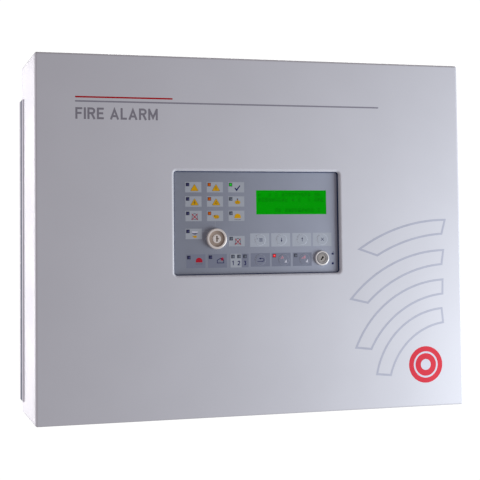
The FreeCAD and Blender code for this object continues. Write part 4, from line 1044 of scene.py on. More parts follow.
    def keys(self) -> None:
        """Tiles round the keys, the raised rims with their painted highlight, and the signs that ride on the
        keys.
        """
        signs = {"menu": Signs.listing(), "down": Signs.arrow(False), "up": Signs.arrow(True),
                 "cancel": Signs.cancel(), "return": Signs.hook(), "silence": Signs.sounder_pair(False),
                 "evacuate": Signs.sounder_pair(True)}
        rims = {"film_key_tile": Builder("key_rims_light"), "film_dark_tile": Builder("key_rims_dark")}
        rows = ((self.light_keys, self.key_rows[0], "film_key_tile"),
                (self.dark_keys, self.key_rows[1], "film_dark_tile"))
        lamps = {"silence": self.lamps["lamp_silenced"][0], "evacuate": self.lamps["lamps_status"][-1]}
        for keys, z, finish in rows:
            for name, x in keys:
                low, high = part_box(f"button_{name}")
                centre = ((low.x + high.x) / 2 / MM, (low.z + high.z) / 2 / MM)
                half = (self.key_tile[0] / 2, self.key_tile[1] / 2)
                left, right = x - half[0], x + half[0]
                if name in lamps:
                    edge = centre[0] - self.hole / 2 - 0.6
                    self.plain_tile(((left + edge) / 2, z), (edge - left, 2 * half[1]), finish, [lamps[name]])
                    left = edge
                self.add(finish, holed((left, right), (z - half[1], z + half[1]), centre, self.hole / 2))
                self.rim(rims[finish], centre)
                self.key_sign(name, signs[name], centre, low.y / MM)
        # The rims' lighter finishes are painted highlight on the embossing.
        rims["film_key_tile"].done(self.finishes.get("film_key_rim_painted_highlight"), "door", "printed_film", smooth=True)
        rims["film_dark_tile"].done(self.finishes.get("film_dark_rim_painted_highlight"), "door", "printed_film", smooth=True)

    def rim(self, rims: Builder, centre: Point) -> None:
        """Emboss a soft ring round a key's hole."""
        inner, outer, proud, wall = self.hole / 2 - 0.22, self.hole / 2 + 0.5, 0.2, 0.7
        profile = [(inner, wall), (inner, -proud + 0.05), (inner + 0.15, -proud),
                   (outer - 0.2, -proud), (outer, 0.02)]
        for (r0, d0), (r1, d1) in zip(profile, profile[1:]):
            near = [rims.mesh.verts.new((px, self.front + d0, pz)) for px, pz in disc(centre, r0, 40)]
            far = [rims.mesh.verts.new((px, self.front + d1, pz)) for px, pz in disc(centre, r1, 40)]
            for i in range(40):
                j = (i + 1) % 40
                rims.mesh.faces.new((near[i], near[j], far[j], far[i]))

    def key_sign(self, name: str, sign: Sign, centre: Point, face: float) -> None:
        """Print a key's sign on the key itself, so that it travels with it."""
        for finish, shapes in sign:
            piece = Builder(f"sign_{name}_{finish.removeprefix('ink_')}")
            piece.slab(moved(shapes, centre, 0.92), face - self.ink, face + self.ink)
            piece.done(self.finishes.get(finish), f"key_{name}", "printed_film")

    def lock_signs(self) -> None:
        """An open and a shut padlock beside the lock, and the turned rings of the lock's face, edged by a
        groove in painted shade.
        """
        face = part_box("lock_body")[0].y / MM
        rings = Builder("lock_face_rings")
        rings.slab(ring(LOCK_CENTRE_MM, 4.3, 5.5), face - 0.04, face + 0.2)
        rings.done(self.finishes.get("shaded_nickel"), "door", "nickel")
        # Painted shade: a dark ring stands in for the groove outside the turned rings.
        groove = Builder("lock_face_groove")
        groove.slab(ring(LOCK_CENTRE_MM, 5.5, 5.8), face - 0.02, face + 0.2)
        groove.done(self.finishes.get("lamp_bezel_and_painted_shade"), "door", "nickel")
        collar_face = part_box("key_switch_face")[0].y / MM
        collar = Builder("switch_core_collar")
        collar.slab(ring(SWITCH_CENTRE_MM, 3.72, 4.35), collar_face - 0.3, collar_face + 0.1)
        collar.done(self.finishes.get("turned_nickel_switch"), "door", "nickel")
        for at, shut in zip(self.padlocks, (False, True)):
            self.put(Signs.padlock(shut), at, 1.1)

    def layer_up(self) -> None:
        """Make each ink one piece, later inks over earlier ones."""
        order = ("film_dark_tile", "film_light_tile", "film_key_tile", "ink_line", "ink_grey", "ink_edge",
                 "ink_white", "ink_yellow", "ink_red", "ink_brown", "ink_navy", "ink_pink")
        for level, finish in enumerate(order, start=1):
            if finish in self.layers:
                proud = self.ink * (1 if finish.startswith("film") else 1 + level * 0.25)
                piece = Builder(f"print_{finish.removeprefix('film_').removeprefix('ink_')}")
                piece.slab(self.layers[finish], self.front - proud, self.front + self.ink)
                piece.done(self.finishes.get(finish), "door", "printed_film")


@dataclass
class CoverPrint:
    """The paint on the cover's face: two stripes, plain lettering, an arc device and a round badge."""

    finishes: Finishes
    stripe_left: float = -186.0
    red_right: float = -88.4
    grey_right: float = 133.0
    red_z: float = 137.0
    grey_z: float = 132.8
    stripe: float = 1.5
    words: str = "FIRE ALARM"
    words_at: Point = (-185.6, 115.3)
    letter_height: float = 11.4
    weight: float = 2.0
    gap: float = 1.5
    badge: Point = (181.7, -136.5)
    badge_radius: float = 19.0
    ink: float = 0.04

    @property
    def face(self) -> float:
        """Depth of the cover's face."""
        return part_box("front_cover")[0].y / MM

    def piece(self, name: str, shapes: Iterable[Outline], finish: str, level: float = 1.0) -> None:
        """Lay one layer of paint on the face."""
        layer = Builder(name).slab(shapes, self.face - self.ink * level, self.face + self.ink)
        layer.done(self.finishes.get(finish), "door", "powder_coat")

    def bar(self, left: float, right: float, z: float) -> Outline:
        """A stripe with round ends."""
        radius = self.stripe / 2
        return arc((right - radius, z), radius, -90, 90, 8) + arc((left + radius, z), radius, 90, 270, 8)

    def build(self) -> None:
        """Paint everything."""
        self.piece("stripe_red", [self.bar(self.stripe_left, self.red_right, self.red_z)], "paint_red")
        self.piece("stripe_grey", [self.bar(self.stripe_left, self.grey_right, self.grey_z)], "paint_stripe")
        self.lettering()
        self.piece("arc_device", self.arcs(), "paint_mist")
        radius = self.badge_radius
        self.piece("badge_disc", [disc(self.badge, radius, 56)], "paint_badge_red")
        light = ring(self.badge, radius * 0.62, radius * 0.72, 56) + [disc(self.badge, radius * 0.3, 32)]
        self.piece("badge_rings", light, "ink_white", level=2)

    def arcs(self) -> list[Outline]:
        """Nested tapering arcs, like sound waves spreading from the badge, drawn as outlines."""
        shapes: list[Outline] = []
        centre = (207.0, -160.0)
        for radius, start, end in ((82, 94, 169), (112, 92, 157), (143, 91, 139), (175, 90, 124)):
            outer = arc(centre, radius, start, end, 24)
            inner = arc((centre[0] + 4.5, centre[1] - 4.5), radius - 10, start + 3, end - 4, 24)
            shapes += stroke(outer + inner[::-1], 2.2, closed=True)
        return shapes

    def lettering(self) -> None:
        """Set the plain words in block letters, drawn as strokes of one width."""
        under: list[Outline] = []
        over: list[Outline] = []
        pen = self.words_at[0]
        for letter in self.words:
            wide, paths = self.glyph(letter)
            for index, path in enumerate(paths):
                layer = over if index % 2 else under
                layer.extend(moved(stroke(path, self.weight), (pen, self.words_at[1])))
            pen += wide + self.gap
        self.piece("lettering", under, "paint_slate")
        self.piece("lettering_bars", over, "paint_slate", level=1.3)

    def glyph(self, letter: str) -> tuple[float, list[Outline]]:
        """One block letter.

        Args:
            letter: A capital of the words, or a space.

        Returns:
            Its width, and the middle lines of its strokes.
        """
        low, high = self.weight / 2, self.letter_height - self.weight / 2
        middle, top, left = self.letter_height * 0.51, self.letter_height, self.weight / 2
        bowl = (high - middle) / 2
        shapes = {
            "F": (6.8, [[(left, 0), (left, high), (6.8, high)], [(left, middle), (6.0, middle)]]),
            "I": (self.weight, [[(left, 0), (left, top)]]),
            "R": (7.8, [[(left, 0), (left, high)] + arc((4.4, middle + bowl), bowl, 90, -90, 8)
                        + [(self.weight, middle)], [(4.0, middle), (7.0, 0)]]),
            "E": (6.8, [[(6.8, high), (left, high), (left, low), (6.8, low)],
                        [(left, middle), (6.2, middle)]]),
            "A": (9.2, [[(1.0, 0), (4.6, top - 1.6), (8.2, 0)], [(2.2, low + 2.3), (7.0, low + 2.3)]]),
            "L": (6.2, [[(left, top), (left, low), (6.2, low)]]),
            "M": (9.6, [[(left, 0), (left, top)], [(left, high), (4.8, 2.4), (9.6 - left, high)],
                        [(9.6 - left, 0), (9.6 - left, top)]]),
        }
        return shapes.get(letter, (3.0, []))


# ---------------------------------------------------------------------- flexible wiring
def spline(route: Sequence[Sequence[float]], steps: int) -> list[Vector]:
    """Points along a smooth quadratic spline that has the route's points as its control points.

    Args:
        route: The control points.
        steps: Points for each stretch.

    Returns:
        The points, from the route's first to its last.
    """
    control = [Vector(p) for p in route]
    mids = [control[0]] + [(a + b) / 2 for a, b in zip(control[1:-2], control[2:-1])] + [control[-1]]
    out = [mids[0]]
    for i in range(len(mids) - 1):
        start, bend, end = mids[i], control[i + 1], mids[i + 1]
        for k in range(1, steps + 1):
            t = k / steps
            out.append(start * (1 - t) ** 2 + bend * 2 * t * (1 - t) + end * t ** 2)
    return out


@dataclass
class HingeWiring:
    """The two runs that cross the hinge: the flat ribbon and the earth lead."""

    finishes: Finishes
    ribbon_route: tuple[Point, ...] = (
        (-191.5, -25.1), (-191.5, -43.1), (-210, -60), (-206, -78), (-184, -84), (-150, -78), (-112, -76),
        (-83.5, -74), (-83.5, -88.0))
    ribbon_z: Point = (4.6, 29.4)
    conductors: int = 20
    thickness: float = 0.85
    lead_route: tuple[tuple[float, float, float], ...] = (
        (-205, -6.2, -76), (-205, -6.2, -88), (-206, -22.2, -102), (-208, -48, -108), (-208, -74, -107),
        (-206, -99.8, -101), (-205, -113.8, -88), (-205, -113.8, -76))
    lead: float = 3.6

    def build(self) -> None:
        """Make both runs and bend them across the hinge."""
        self.ribbon()
        self.earth()

    def ribbon(self) -> None:
        """A ribbon of parallel cores, each a small round ridge on both faces."""
        path = spline([(x, y, 0) for x, y in self.ribbon_route], 8)
        low, high = self.ribbon_z
        pitch = (high - low) / self.conductors
        section: list[Point] = []
        for core in range(self.conductors):
            for share, bulge in ((0.0, 0.45), (0.25, 0.92), (0.5, 1.0), (0.75, 0.92)):
                section.append((low + (core + share) * pitch, bulge * self.thickness / 2))
        section.append((high, 0.45 * self.thickness / 2))
        loop = section + [(z, -half) for z, half in reversed(section)]
        mesh = bmesh.new()
        rings = []
        for i, point in enumerate(path):
            along = (path[min(i + 1, len(path) - 1)] - path[max(i - 1, 0)]).normalized()
            side = Vector((-along.y, along.x, 0))
            rings.append([mesh.verts.new(((point.x + side.x * d) * MM, (point.y + side.y * d) * MM, z * MM))
                          for z, d in loop])
        self.skin(mesh, rings)
        piece = self.finish_mesh(mesh, "flat_ribbon", ["ribbed_ribbon", "ribbon_marker"])
        edge = (low + pitch) * MM
        for face in piece.data.polygons:
            if face.center.z < edge:
                face.material_index = 1
        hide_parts("ribbon_cable")
        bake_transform(piece)

    def earth(self) -> None:
        """The striped earth lead with a crimped ring lug on each stud."""
        path = spline(self.lead_route, 8)
        mesh = bmesh.new()
        rings = []
        radius = self.lead / 2
        for i, point in enumerate(path):
            along = (path[min(i + 1, len(path) - 1)] - path[max(i - 1, 0)]).normalized()
            across = Vector((1, 0, 0))
            across = (across - along * across.dot(along)).normalized()
            third = along.cross(across)
            rings.append([
                mesh.verts.new((point + across * math.cos(a) * radius + third * math.sin(a) * radius) * MM)
                for a in (2 * math.pi * k / 14 for k in range(14))])
        self.skin(mesh, rings)
        piece = self.finish_mesh(mesh, "earth_wire", ["earth_pvc"])
        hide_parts("earth_lead")
        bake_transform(piece)
        self.lug("earth_lug_box", "box", "box_earth_stud", self.lead_route[0][1])
        self.lug("earth_lug_cover", "door", "cover_earth_stud", self.lead_route[-1][1])

    def lug(self, name: str, body: str, stud: str, y: float) -> None:
        """A tinned ring lug at a depth: the ring round the stud and the barrel crimped on the lead."""
        low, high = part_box(stud)
        x, z = (low.x + high.x) / 2 / MM, (low.z + high.z) / 2 / MM
        lug = Builder(name)
        lug.slab(ring((x, z), 2.1, 4.6, 32), y - 0.4, y + 0.4)
        lug.box((x - 1.6, x + 1.6), (y - 0.4, y + 0.4), (z - 8.5, z - 3.8), 0.2)
        mesh = lug.mesh
        loops = []
        for depth in (-8.0, -13.5):
            loops.append([mesh.verts.new((x + 2.3 * math.cos(a), y + 2.3 * math.sin(a), z + depth))
                          for a in (2 * math.pi * k / 20 for k in range(20))])
        for i in range(20):
            mesh.faces.new((loops[0][i], loops[0][(i + 1) % 20], loops[1][(i + 1) % 20], loops[1][i]))
        mesh.faces.new(loops[0])
        mesh.faces.new(loops[1][::-1])
        lug.done(self.finishes.get("tinned_copper"), body, "plated_fixings", smooth=True)

    @staticmethod
    def skin(mesh: bmesh.types.BMesh, rings: list[list[bmesh.types.BMVert]]) -> None:
        """Close a run of rings into a tube with both ends capped."""
        for near, far in zip(rings, rings[1:]):
            for i in range(len(near)):
                j = (i + 1) % len(near)
                mesh.faces.new((near[i], near[j], far[j], far[i]))
        mesh.faces.new(rings[0][::-1])
        mesh.faces.new(rings[-1])
        bmesh.ops.recalc_face_normals(mesh, faces=mesh.faces)

    def finish_mesh(self, mesh: bmesh.types.BMesh, name: str, finishes: list[str]) -> bpy.types.Object:
        """Turn a finished mesh into a smooth piece with its finishes."""
        data = bpy.data.meshes.new(name)
        mesh.to_mesh(data)
        mesh.free()
        for finish in finishes:
            data.materials.append(self.finishes.get(finish))
        data.shade_smooth()
        data.set_sharp_from_angle(angle=math.radians(50))
        piece = bpy.data.objects.new(name, data)
        bpy.context.collection.objects.link(piece)
        return piece


# ---------------------------------------------------------------------- inside the box
def small_part(body: Builder, ends: Builder, at: Point, face: float, way: int) -> None:
    """Add a chip resistor or capacitor with its two tinned ends.

    Args:
        body: Where its body goes.
        ends: Where its ends go.
        at: Its middle.
        face: Depth of the board's surface under it.
        way: -1 where that surface faces the front, 1 where it faces the rear.
    """
    x, z = at
    body.box(span(x, 1.0), sorted((face, face + way * 0.6)), span(z, 0.65), 0.08)
    for side in (-1, 1):
        ends.box(span(x + side * 1.25, 0.35), sorted((face, face + way * 0.64)), span(z, 0.7), 0.1)


def chip_legs(legs: Builder, centre: Point, side: float, depths: Point, length: float) -> None:
    """Add a chip's legs, on two sides, or on all four of a large one.

    Args:
        legs: Where the legs go.
        centre: The chip's middle.
        side: The chip's width.
        depths: The legs' front and back.
        length: How far they reach past the chip.
    """
    (x, z), half, count = centre, side / 2, int(side / LEG_PITCH_MM) - 1
    for i in range(count):
        offset = (i - (count - 1) / 2) * LEG_PITCH_MM
        for way in (-1, 1):
            low, high = sorted((way * half, way * (half + length)))
            legs.box(span(x + offset, 0.25), depths, (z + low, z + high))
            if side > 10:
                legs.box((x + low, x + high), depths, span(z + offset, 0.25))


@dataclass
class MainBoardDetail:
    """What stands on the main board besides its large parts."""

    finishes: Finishes
    chips: tuple[tuple[Point, float], ...] = (
        ((-120, 20), 20), ((-80, 20), 14), ((-150, 40), 9), ((-150, 0), 9), ((-40, 50), 9), ((-40, 30), 9))
    cans: tuple[Point, ...] = ((-20, 10), (0, 10), (20, 10), (20, -14), (0, 84), (20, 84))
    relays: tuple[float, ...] = (-160, -130, -100, -70)
    patches: tuple[tuple[Point, int, int], ...] = (
        ((-183, 50), 3, 6), ((-183, -32), 10, 2), ((-100, -20), 6, 3), ((-170, 66), 19, 2), ((-45, 66), 5, 2),
        ((-105, 42), 5, 2), ((-60, 4), 4, 3), ((15, 30), 4, 5))
    step: Point = (6.0, 4.6)
    way: float = 5.08

    @property
    def top(self) -> float:
        """Depth of the board's component side."""
        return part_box("main_board")[0].y / MM

    def build(self) -> None:
        """Populate the board."""
        self.small_parts()
        self.chip_legs()
        self.can_tops()
        self.screws()
        self.print()

    def small_parts(self) -> None:
        """Rows of tiny resistors and capacitors with tinned ends."""
        bodies = {"chip_ceramic": Builder("small_capacitors"), "black_moulding": Builder("small_resistors")}
        ends = Builder("small_part_ends")
        for (x, z), across, up in self.patches:
            for i in range(across):
                for k in range(up):
                    px, pz = x + i * self.step[0], z + k * self.step[1]
                    pick = "chip_ceramic" if random.random() < 0.45 else "black_moulding"
                    small_part(bodies[pick], ends, (px, pz), self.top, -1)
        for finish, body in bodies.items():
            body.done(self.finishes.get(finish), "box", "black_plastic")
        ends.done(self.finishes.get("tinned_copper"), "box", "plated_fixings")

    def chip_legs(self) -> None:
        """Legs on all four sides of the large chips and two sides of the small ones, and a dot by leg one."""
        legs, dots = Builder("chip_legs"), Builder("chip_dots")
        for (x, z), side in self.chips:
            chip_legs(legs, (x, z), side, (self.top - 0.5, self.top), 1.4)
            half = side / 2
            dots.turned((x - half + 1.6, z + half - 1.6), [(0.5, self.top - 1.83), (0.5, self.top - 1.7)], 16)
        legs.done(self.finishes.get("tinned_copper"), "box", "plated_fixings")
        dots.done(self.finishes.get("ink_grey"), "box", "black_plastic")

    def can_tops(self) -> None:
        """Bare aluminium tops with a scored cross in painted shade, and the pale stripe down each sleeve."""
        tops, scores, stripes = Builder("can_tops"), Builder("can_scores"), Builder("can_stripes")
        face = self.top - 20.0
        for x, z in self.cans:
            tops.turned((x, z), [(4.9, face - 0.05), (5.2, face + 0.1), (5.2, face + 0.5)], 32)
            # Painted shade: each scored line is a dark slab on the top, not a groove.
            cross = [rectangle(span(x, 3.4), span(z, 0.2)), rectangle(span(x, 0.2), span(z, 3.4))]
            scores.slab(cross, face - 0.08, face)
            wall = arc((x, z), 6.3, -20, 20, 6)
            inner = arc((x, z), 6.1, 20, -20, 6)
            stripes.slab([wall + inner], face + 2.0, self.top - 1.0)
        tops.done(self.finishes.get("tinned_copper"), "box", "capacitor_sleeve")
        scores.done(self.finishes.get("lamp_bezel_and_painted_shade"), "box", "capacitor_sleeve")
        stripes.done(self.finishes.get("ink_white"), "box", "capacitor_sleeve")

    def screws(self) -> None:
        """A slotted screw in each well of every terminal block, its slot a dark slab of painted shade."""
        heads, slots = Builder("terminal_screws"), Builder("terminal_screw_slots")
        board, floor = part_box("main_board"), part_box("psu_case")[1].y / MM
        rows = [(board[0].x / MM + 5 + i * 30.0, board[1].z / MM - 13, self.top, 5, self.way)
                for i in range(8)]
        rows += [(70.0, 89.0, floor, 8, 7.5), (-60.0, -41.0, self.top, 4, self.way)]
        for x, z, back, ways, pitch in rows:
            for i in range(ways):
                at = (x + (i + 0.5) * pitch, z + 4.0)
                face = back - 12.0 + 0.9
                heads.turned(at, [(1.3, face), (1.6, face + 0.3), (1.6, face + 1.5)], 20)
                # Painted shade: a dark slab on the head stands in for the slot.
                slots.slab([rectangle(span(at[0], 1.3), span(at[1], 0.22))], face - 0.03, face + 0.1)
        heads.done(self.finishes.get("bright_zinc"), "box", "plated_fixings", smooth=True)
        slots.done(self.finishes.get("lamp_bezel_and_painted_shade"), "box", "plated_fixings")

    def print(self) -> None:
        """White outlines printed round the parts."""
        shapes: list[Outline] = []
        for (x, z), side in self.chips:
            half = side / 2 + 2.2
            shapes += stroke(rectangle(span(x, half), span(z, half)), 0.3, closed=True)
        for x in self.relays:
            shapes += stroke(rectangle((x - 1, x + 20), (81, 98.5)), 0.3, closed=True)
        for at in self.cans:
            shapes += ring(at, 6.9, 7.2, 32)
        low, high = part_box("main_board")
        for i in range(8):
            x = low.x / MM + 5 + i * 30.0
            shapes += [rectangle((x + (k + 0.5) * self.way - 0.8, x + (k + 0.5) * self.way + 0.8),
                                 (high.z / MM - 16.0, high.z / MM - 14.6)) for k in range(5)]
        layer = Builder("board_print").slab(shapes, self.top - 0.03, self.top + 0.05)
        layer.done(self.finishes.get("ink_white"), "box", "circuit_board")


@dataclass
class DisplayBoardDetail:
    """The rear of the display board, seen with the cover open."""

    finishes: Finishes
    chip: Point = (20.0, 12.0)
    chip_side: float = 14.0

    def build(self) -> None:
        """Add a chip, its small parts, the soldered pins and the white print."""
        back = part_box("display_board")[1].y / MM
        x, z = self.chip
        half = self.chip_side / 2
        chip = Builder("display_chip").box(span(x, half), (back, back + 1.8), span(z, half), 0.25)
        chip.done(self.finishes.get("black_moulding"), "door", "black_plastic")
        legs, solder = Builder("display_chip_legs"), Builder("solder_joints")
        chip_legs(legs, self.chip, self.chip_side, (back, back + 0.5), 1.3)
        legs.done(self.finishes.get("tinned_copper"), "door", "plated_fixings")
        for px, pz in self.pins():
            solder.turned((px, pz), [(0.85, back), (0.55, back + 0.45), (0.25, back + 1.0)], 12)
        solder.done(self.finishes.get("tinned_copper"), "door", "plated_fixings", smooth=True)
        parts, ends = Builder("display_small_parts"), Builder("display_small_ends")
        for i in range(12):
            for row in (-8.0, -13.0, 30.0):
                small_part(parts, ends, (-20 + i * 6.5, row), back, 1)
        parts.done(self.finishes.get("chip_ceramic"), "door", "black_plastic")
        ends.done(self.finishes.get("tinned_copper"), "door", "plated_fixings")
        frame = stroke(rectangle(span(x, half + 2.4), span(z, half + 2.4)), 0.3, closed=True)
        frame += ring((-60, 44), 12.6, 12.95, 48)
        layer = Builder("display_board_print").slab(frame, back - 0.05, back + 0.03)
        layer.done(self.finishes.get("ink_white"), "door", "circuit_board")

    def pins(self) -> list[Point]:
        """Places of the soldered pins: four for each key, two for each lamp, and the display's row."""
        places: list[Point] = []
        for name in ("menu", "down", "up", "cancel", "return", "silence", "evacuate"):
            low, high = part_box(f"button_{name}")
            x, z = (low.x + high.x) / 2 / MM, (low.z + high.z) / 2 / MM
            places += [(x + dx, z + dz) for dx in (-3.2, 3.2) for dz in (-2.2, 2.2)]
        for group in ControlFilm(self.finishes).lamps.values():
            places += [(x + dx, z) for x, z in group for dx in (-1.27, 1.27)]
        return places + [(2.0 + i * 2.54, 60.5) for i in range(16)]


@dataclass
class SupplyAndBatteryDetail:
    """Vent shadows and label of the supply, labels, lids and tinned tabs of the batteries."""

    finishes: Finishes
    label: Point = (62.0, 30.0)

    def build(self) -> None:
        """Add everything."""
        self.supply()
        for name in ("battery_left", "battery_right"):
            self.battery(name)

    def supply(self) -> None:
        """Painted shadow on the floors of the vent slots, and a printed rating label."""
        low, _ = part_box("psu_case")
        x0, front = low.x / MM, low.y / MM
        shadow = Builder("vent_shadows")
        shadow.slab([rectangle((x0 + 12.6 + i * 7.5, x0 + 15.4 + i * 7.5), (z + 0.1, z + 27.9))
                     for i in range(16) for z in (-34.0, 2.0, 38.0)], front + 1.12, front + 1.3)
        shadow.done(self.finishes.get("lamp_bezel_and_painted_shade"), "box", "zinc_steel")
        self.sticker("supply_label", ((88.0, 150.0), (68.5, 82.5)), front, -1, "box", "zinc_steel")

    def sticker(self, name: str, place: tuple[Point, Point], face: float, way: int, body: str,
                slot: str) -> None:
        """A paper label with a coloured band and plain ruled lines instead of words.

        Args:
            name: What the pieces are called.
            place: Its left and right, and its bottom and top.
            face: Depth of the surface that it sticks to.
            way: -1 where it faces the front, 1 where it faces the rear.
            body: The body that it rides on.
            slot: The material slot of what it sticks to.
        """
        x, z = place
        paper = Builder(name).slab([rounded(x, z, 1.2)], face + way * 0.08, face - way * 0.05)
        paper.done(self.finishes.get("paper_label"), body, slot)
        band = Builder(f"{name}_band").slab(
            [rectangle((x[0] + 1.5, x[1] - 1.5), (z[1] - (z[1] - z[0]) * 0.28, z[1] - 1.5))],
            face + way * 0.1, face)
        band.done(self.finishes.get("paint_red"), body, slot)
        rules: list[Outline] = []
        height = z[0] + 2.2
        while height < z[1] - (z[1] - z[0]) * 0.36:
            rules.append(rectangle((x[0] + 3, x[0] + 3 + (x[1] - x[0] - 6) * random.uniform(0.55, 1.0)),
                                   (height, height + 0.6)))
            height += 2.6
        lines = Builder(f"{name}_lines").slab(rules, face + way * 0.1, face)
        lines.done(self.finishes.get("ink_grey"), body, slot)

    def battery(self, name: str) -> None:
        """A label, a moulded lid line, tinned tabs and their polarity signs."""
        low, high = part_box(name)
        x0, x1, front = low.x / MM, high.x / MM, low.y / MM
        top = high.z / MM - 6.0
        centre = (x0 + x1) / 2
        self.sticker(f"{name}_label", (span(centre, 34), (top - 62, top - 24)), front, -1, "box",
                     "battery_case")
        lid = Builder(f"{name}_vents")
        for i in range(6):
            vx = centre - 37.5 + i * 15
            lid.box(span(vx, 5.2), (front + 24, front + 38), (top - 0.02, top + 0.7), 0.3)
        lid.done(self.finishes.get("battery_lid"), "box", "battery_case")
        tabs = Builder(f"{name}_tabs")
        for tx in (x0 + 14, x1 - 14):
            tabs.box(span(tx, 2.45), (front + 11.55, front + 12.45), (top - 0.5, top + 5.9), 0.1)
        tabs.done(self.finishes.get("tinned_copper"), "box", "plated_fixings")
        for sign, tx, finish in (("plus", x0 + 14, "paint_red"), ("minus", x1 - 14, "ink_white")):
            bars = [rectangle(span(tx, 2.5), (top - 6.4, top - 5.4))]
            if sign == "plus":
                bars += [rectangle(span(tx, 0.5), (top - 8.4, top - 6.4)),
                         rectangle(span(tx, 0.5), (top - 5.4, top - 3.4))]
            mark = Builder(f"{name}_{sign}").slab(bars, front - 0.04, front + 0.1)
            mark.done(self.finishes.get(finish), "box", "battery_case")


# ---------------------------------------------------------------------- the frame's own parts
class FrameDress:
    """Gives each part of the frame its finish."""

    BY_NODE: dict[str, str] = {
        "front_cover": "powder_coat", "back_box": "powder_coat_inside",
        "hinge_leaf_box": "coated_hinge_steel", "hinge_leaf_door": "coated_hinge_steel",
        "hinge_pin": "bright_zinc", "latch_bracket": "galvanised_sheet", "battery_shelf": "galvanised_sheet",
        "psu_case": "galvanised_sheet", "display_plate": "galvanised_sheet",
        "overlay": "velvet_film", "lcd_window": "clear_film", "lcd_glass": "backlit_display",
        "lcd_bezel": "stoved_black_steel", "lcd_board": "green_solder_mask",
        "display_board": "green_solder_mask", "main_board": "green_solder_mask",
        "buzzer": "black_moulding", "board_chips": "black_moulding", "tact_switches": "black_moulding",
        "key_switch_contacts": "black_moulding", "main_header": "grey_header",
        "display_header": "grey_header",
        "lamps_fire": "dark_lamp", "lamps_status": "grey_lamp", "lamps_fault": "amber_lamp",
        "lamp_normal": "green_lamp_lit", "lamp_silenced": "red_lamp_lit",
        "key_switch_body": "turned_nickel_switch", "key_switch_face": "bronzed_face",
        "key_switch_core": "turned_nickel_switch", "key_switch_nut": "turned_nickel_switch",
        "lock_body": "turned_nickel_lock", "lock_core": "turned_nickel_core", "lock_cam": "bright_zinc",
        "lock_nut": "turned_nickel_lock", "cable_grommets": "natural_rubber",
        "terminal_blocks": "green_terminal_nylon", "mains_terminal": "grey_terminal_nylon",
        "relays": "blue_relay_case", "capacitors": "shrink_sleeve", "ribbon_cable": "ribbed_ribbon",
        "battery_left": "battery_abs", "battery_right": "battery_abs", "battery_leads_red": "red_pvc",
        "battery_leads_black": "black_pvc", "earth_lead": "earth_pvc",
    }

    def __init__(self, nodes: dict[str, bpy.types.Object], finishes: Finishes) -> None:
        """Keep the frame's nodes and the finishes."""
        self.nodes = nodes
        self.finishes = finishes

    def build(self) -> None:
        """Assign a finish to every slot of every node."""
        for name, node in self.nodes.items():
            finish = self.BY_NODE.get(name, "bright_zinc")
            if name.startswith("button_"):
                dark = name.removeprefix("button_") in ("return", "silence", "evacuate")
                finish = "film_dark_tile" if dark else "film_key_tile"
            for slot in node.material_slots:
                slot.material = self.finishes.get(finish)
            LOG.info("%s finished in %s", name, finish)


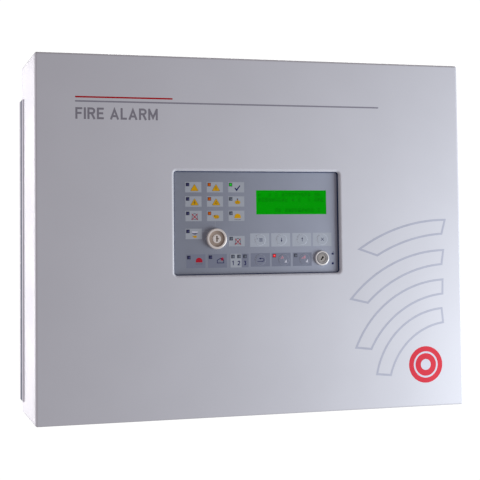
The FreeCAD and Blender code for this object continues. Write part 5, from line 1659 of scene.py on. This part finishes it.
# ---------------------------------------------------------------------- studio
@dataclass
class Studio:
    """Lights, backdrop and camera."""

    eye: tuple[float, float, float] = (-0.3630, -1.2691, -0.0073)
    yaw: float = -16.65
    pitch: float = 3.04
    roll: float = 0.66
    lens: float = 89.25
    rise: float = -0.125

    def build(self) -> None:
        """Set everything up."""
        self.backdrop()
        self.lights()
        self.camera()

    def backdrop(self) -> None:
        """A white backdrop that lights the panel only dimly."""
        world = bpy.data.worlds.new("studio")
        bpy.context.scene.world = world
        world.use_nodes = True
        tree = world.node_tree
        tree.nodes.clear()
        seen = add_node(tree, "ShaderNodeBackground", inputs={"Color": (1, 1, 1, 1), "Strength": 1.05})
        glow = add_node(tree, "ShaderNodeBackground", inputs={
            "Color": (1.0, 0.905, 0.935, 1), "Strength": 0.31})
        path = add_node(tree, "ShaderNodeLightPath")
        mixed = add_node(tree, "ShaderNodeMixShader", inputs={
            0: path.outputs["Is Camera Ray"], 1: glow.outputs[0], 2: seen.outputs[0]})
        add_node(tree, "ShaderNodeOutputWorld", inputs={"Surface": mixed.outputs[0]})

    def softbox(self, name: str, at: tuple[float, float, float], to: tuple[float, float, float],
                size: Point, power: float, tint: str = "FFFFFF") -> None:
        """A rectangular soft light aimed at a point.

        Args:
            name: The light's name.
            at: Where it hangs.
            to: What it points at.
            size: Its width and height.
            power: Watts.
            tint: Its colour.
        """
        lamp = bpy.data.lights.new(name, "AREA")
        lamp.shape = "RECTANGLE"
        lamp.size, lamp.size_y = size
        lamp.energy = power
        lamp.color = linear(tint)[:3]
        piece = bpy.data.objects.new(name, lamp)
        piece.location = at
        piece.rotation_euler = (Vector(to) - Vector(at)).to_track_quat("-Z", "Y").to_euler()
        piece.visible_camera = False
        bpy.context.collection.objects.link(piece)

    def lights(self) -> None:
        """A wash and a rear sheen on the left side, a graze from the right, and one high behind."""
        self.softbox("left_wash", (-1.1, 0.12, -0.02), (-0.22, 0.0, -0.02), (0.4, 0.5), 5.0, "FFFCFF")
        self.softbox("left_sheen", (-0.5, 1.15, 0.0), (-0.225, 0.0, 0.0), (0.5, 0.8), 3.7, "FFFCFF")
        self.softbox("right_graze", (0.66, -0.46, -0.23), (0.1, -0.12, -0.02), (0.45, 0.45), 5.5, "F3F9FF")
        self.softbox("rear_high", (0.5, 1.3, 1.1), (0.0, 0.0, -0.1), (1.2, 1.0), 10.0)

    def camera(self) -> None:
        """The camera, with its small upward frame shift."""
        data = bpy.data.cameras.new("camera")
        data.sensor_width = 36.0
        data.lens = self.lens
        data.shift_y = self.rise
        data.dof.use_dof = False
        piece = bpy.data.objects.new("camera", data)
        turn = (Matrix.Rotation(math.radians(self.yaw), 3, "Z")
                @ Matrix.Rotation(math.radians(self.pitch), 3, "X")
                @ Matrix.Rotation(math.radians(self.roll), 3, "Y"))
        right, forward, up = turn.col[0], turn.col[1], turn.col[2]
        axes = Matrix((right, up, -forward)).transposed().to_4x4()
        piece.matrix_world = Matrix.Translation(self.eye) @ axes
        bpy.context.collection.objects.link(piece)
        bpy.context.scene.camera = piece


def corners(box: tuple[Vector, Vector]) -> list[list[float]]:
    """A box's two corners as plain lists."""
    return [[float(v) for v in corner] for corner in box]


def main() -> None:
    """Load the frame, dress it, and add everything round it."""
    logging.basicConfig(level=logging.INFO, format="%(name)s: %(message)s")
    random.seed(7)
    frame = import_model()
    cad_box = corners(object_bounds())
    finishes = Finishes()
    FrameDress(frame["nodes"], finishes).build()
    ControlFilm(finishes).build()
    CoverPrint(finishes).build()
    HingeWiring(finishes).build()
    MainBoardDetail(finishes).build()
    DisplayBoardDetail(finishes).build()
    boxes = SupplyAndBatteryDetail(finishes)
    boxes.build()
    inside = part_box("front_cover")[0].y / MM + 1.5
    boxes.sticker("wiring_chart", ((112.0, 200.0), (-130.0, -40.0)), inside, 1, "door", "powder_coat")
    Studio().build()
    bpy.context.scene.view_settings.view_transform = "Standard"
    {"cad": cad_box, "visual": corners(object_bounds())}


if __name__ == "__main__":
    main()
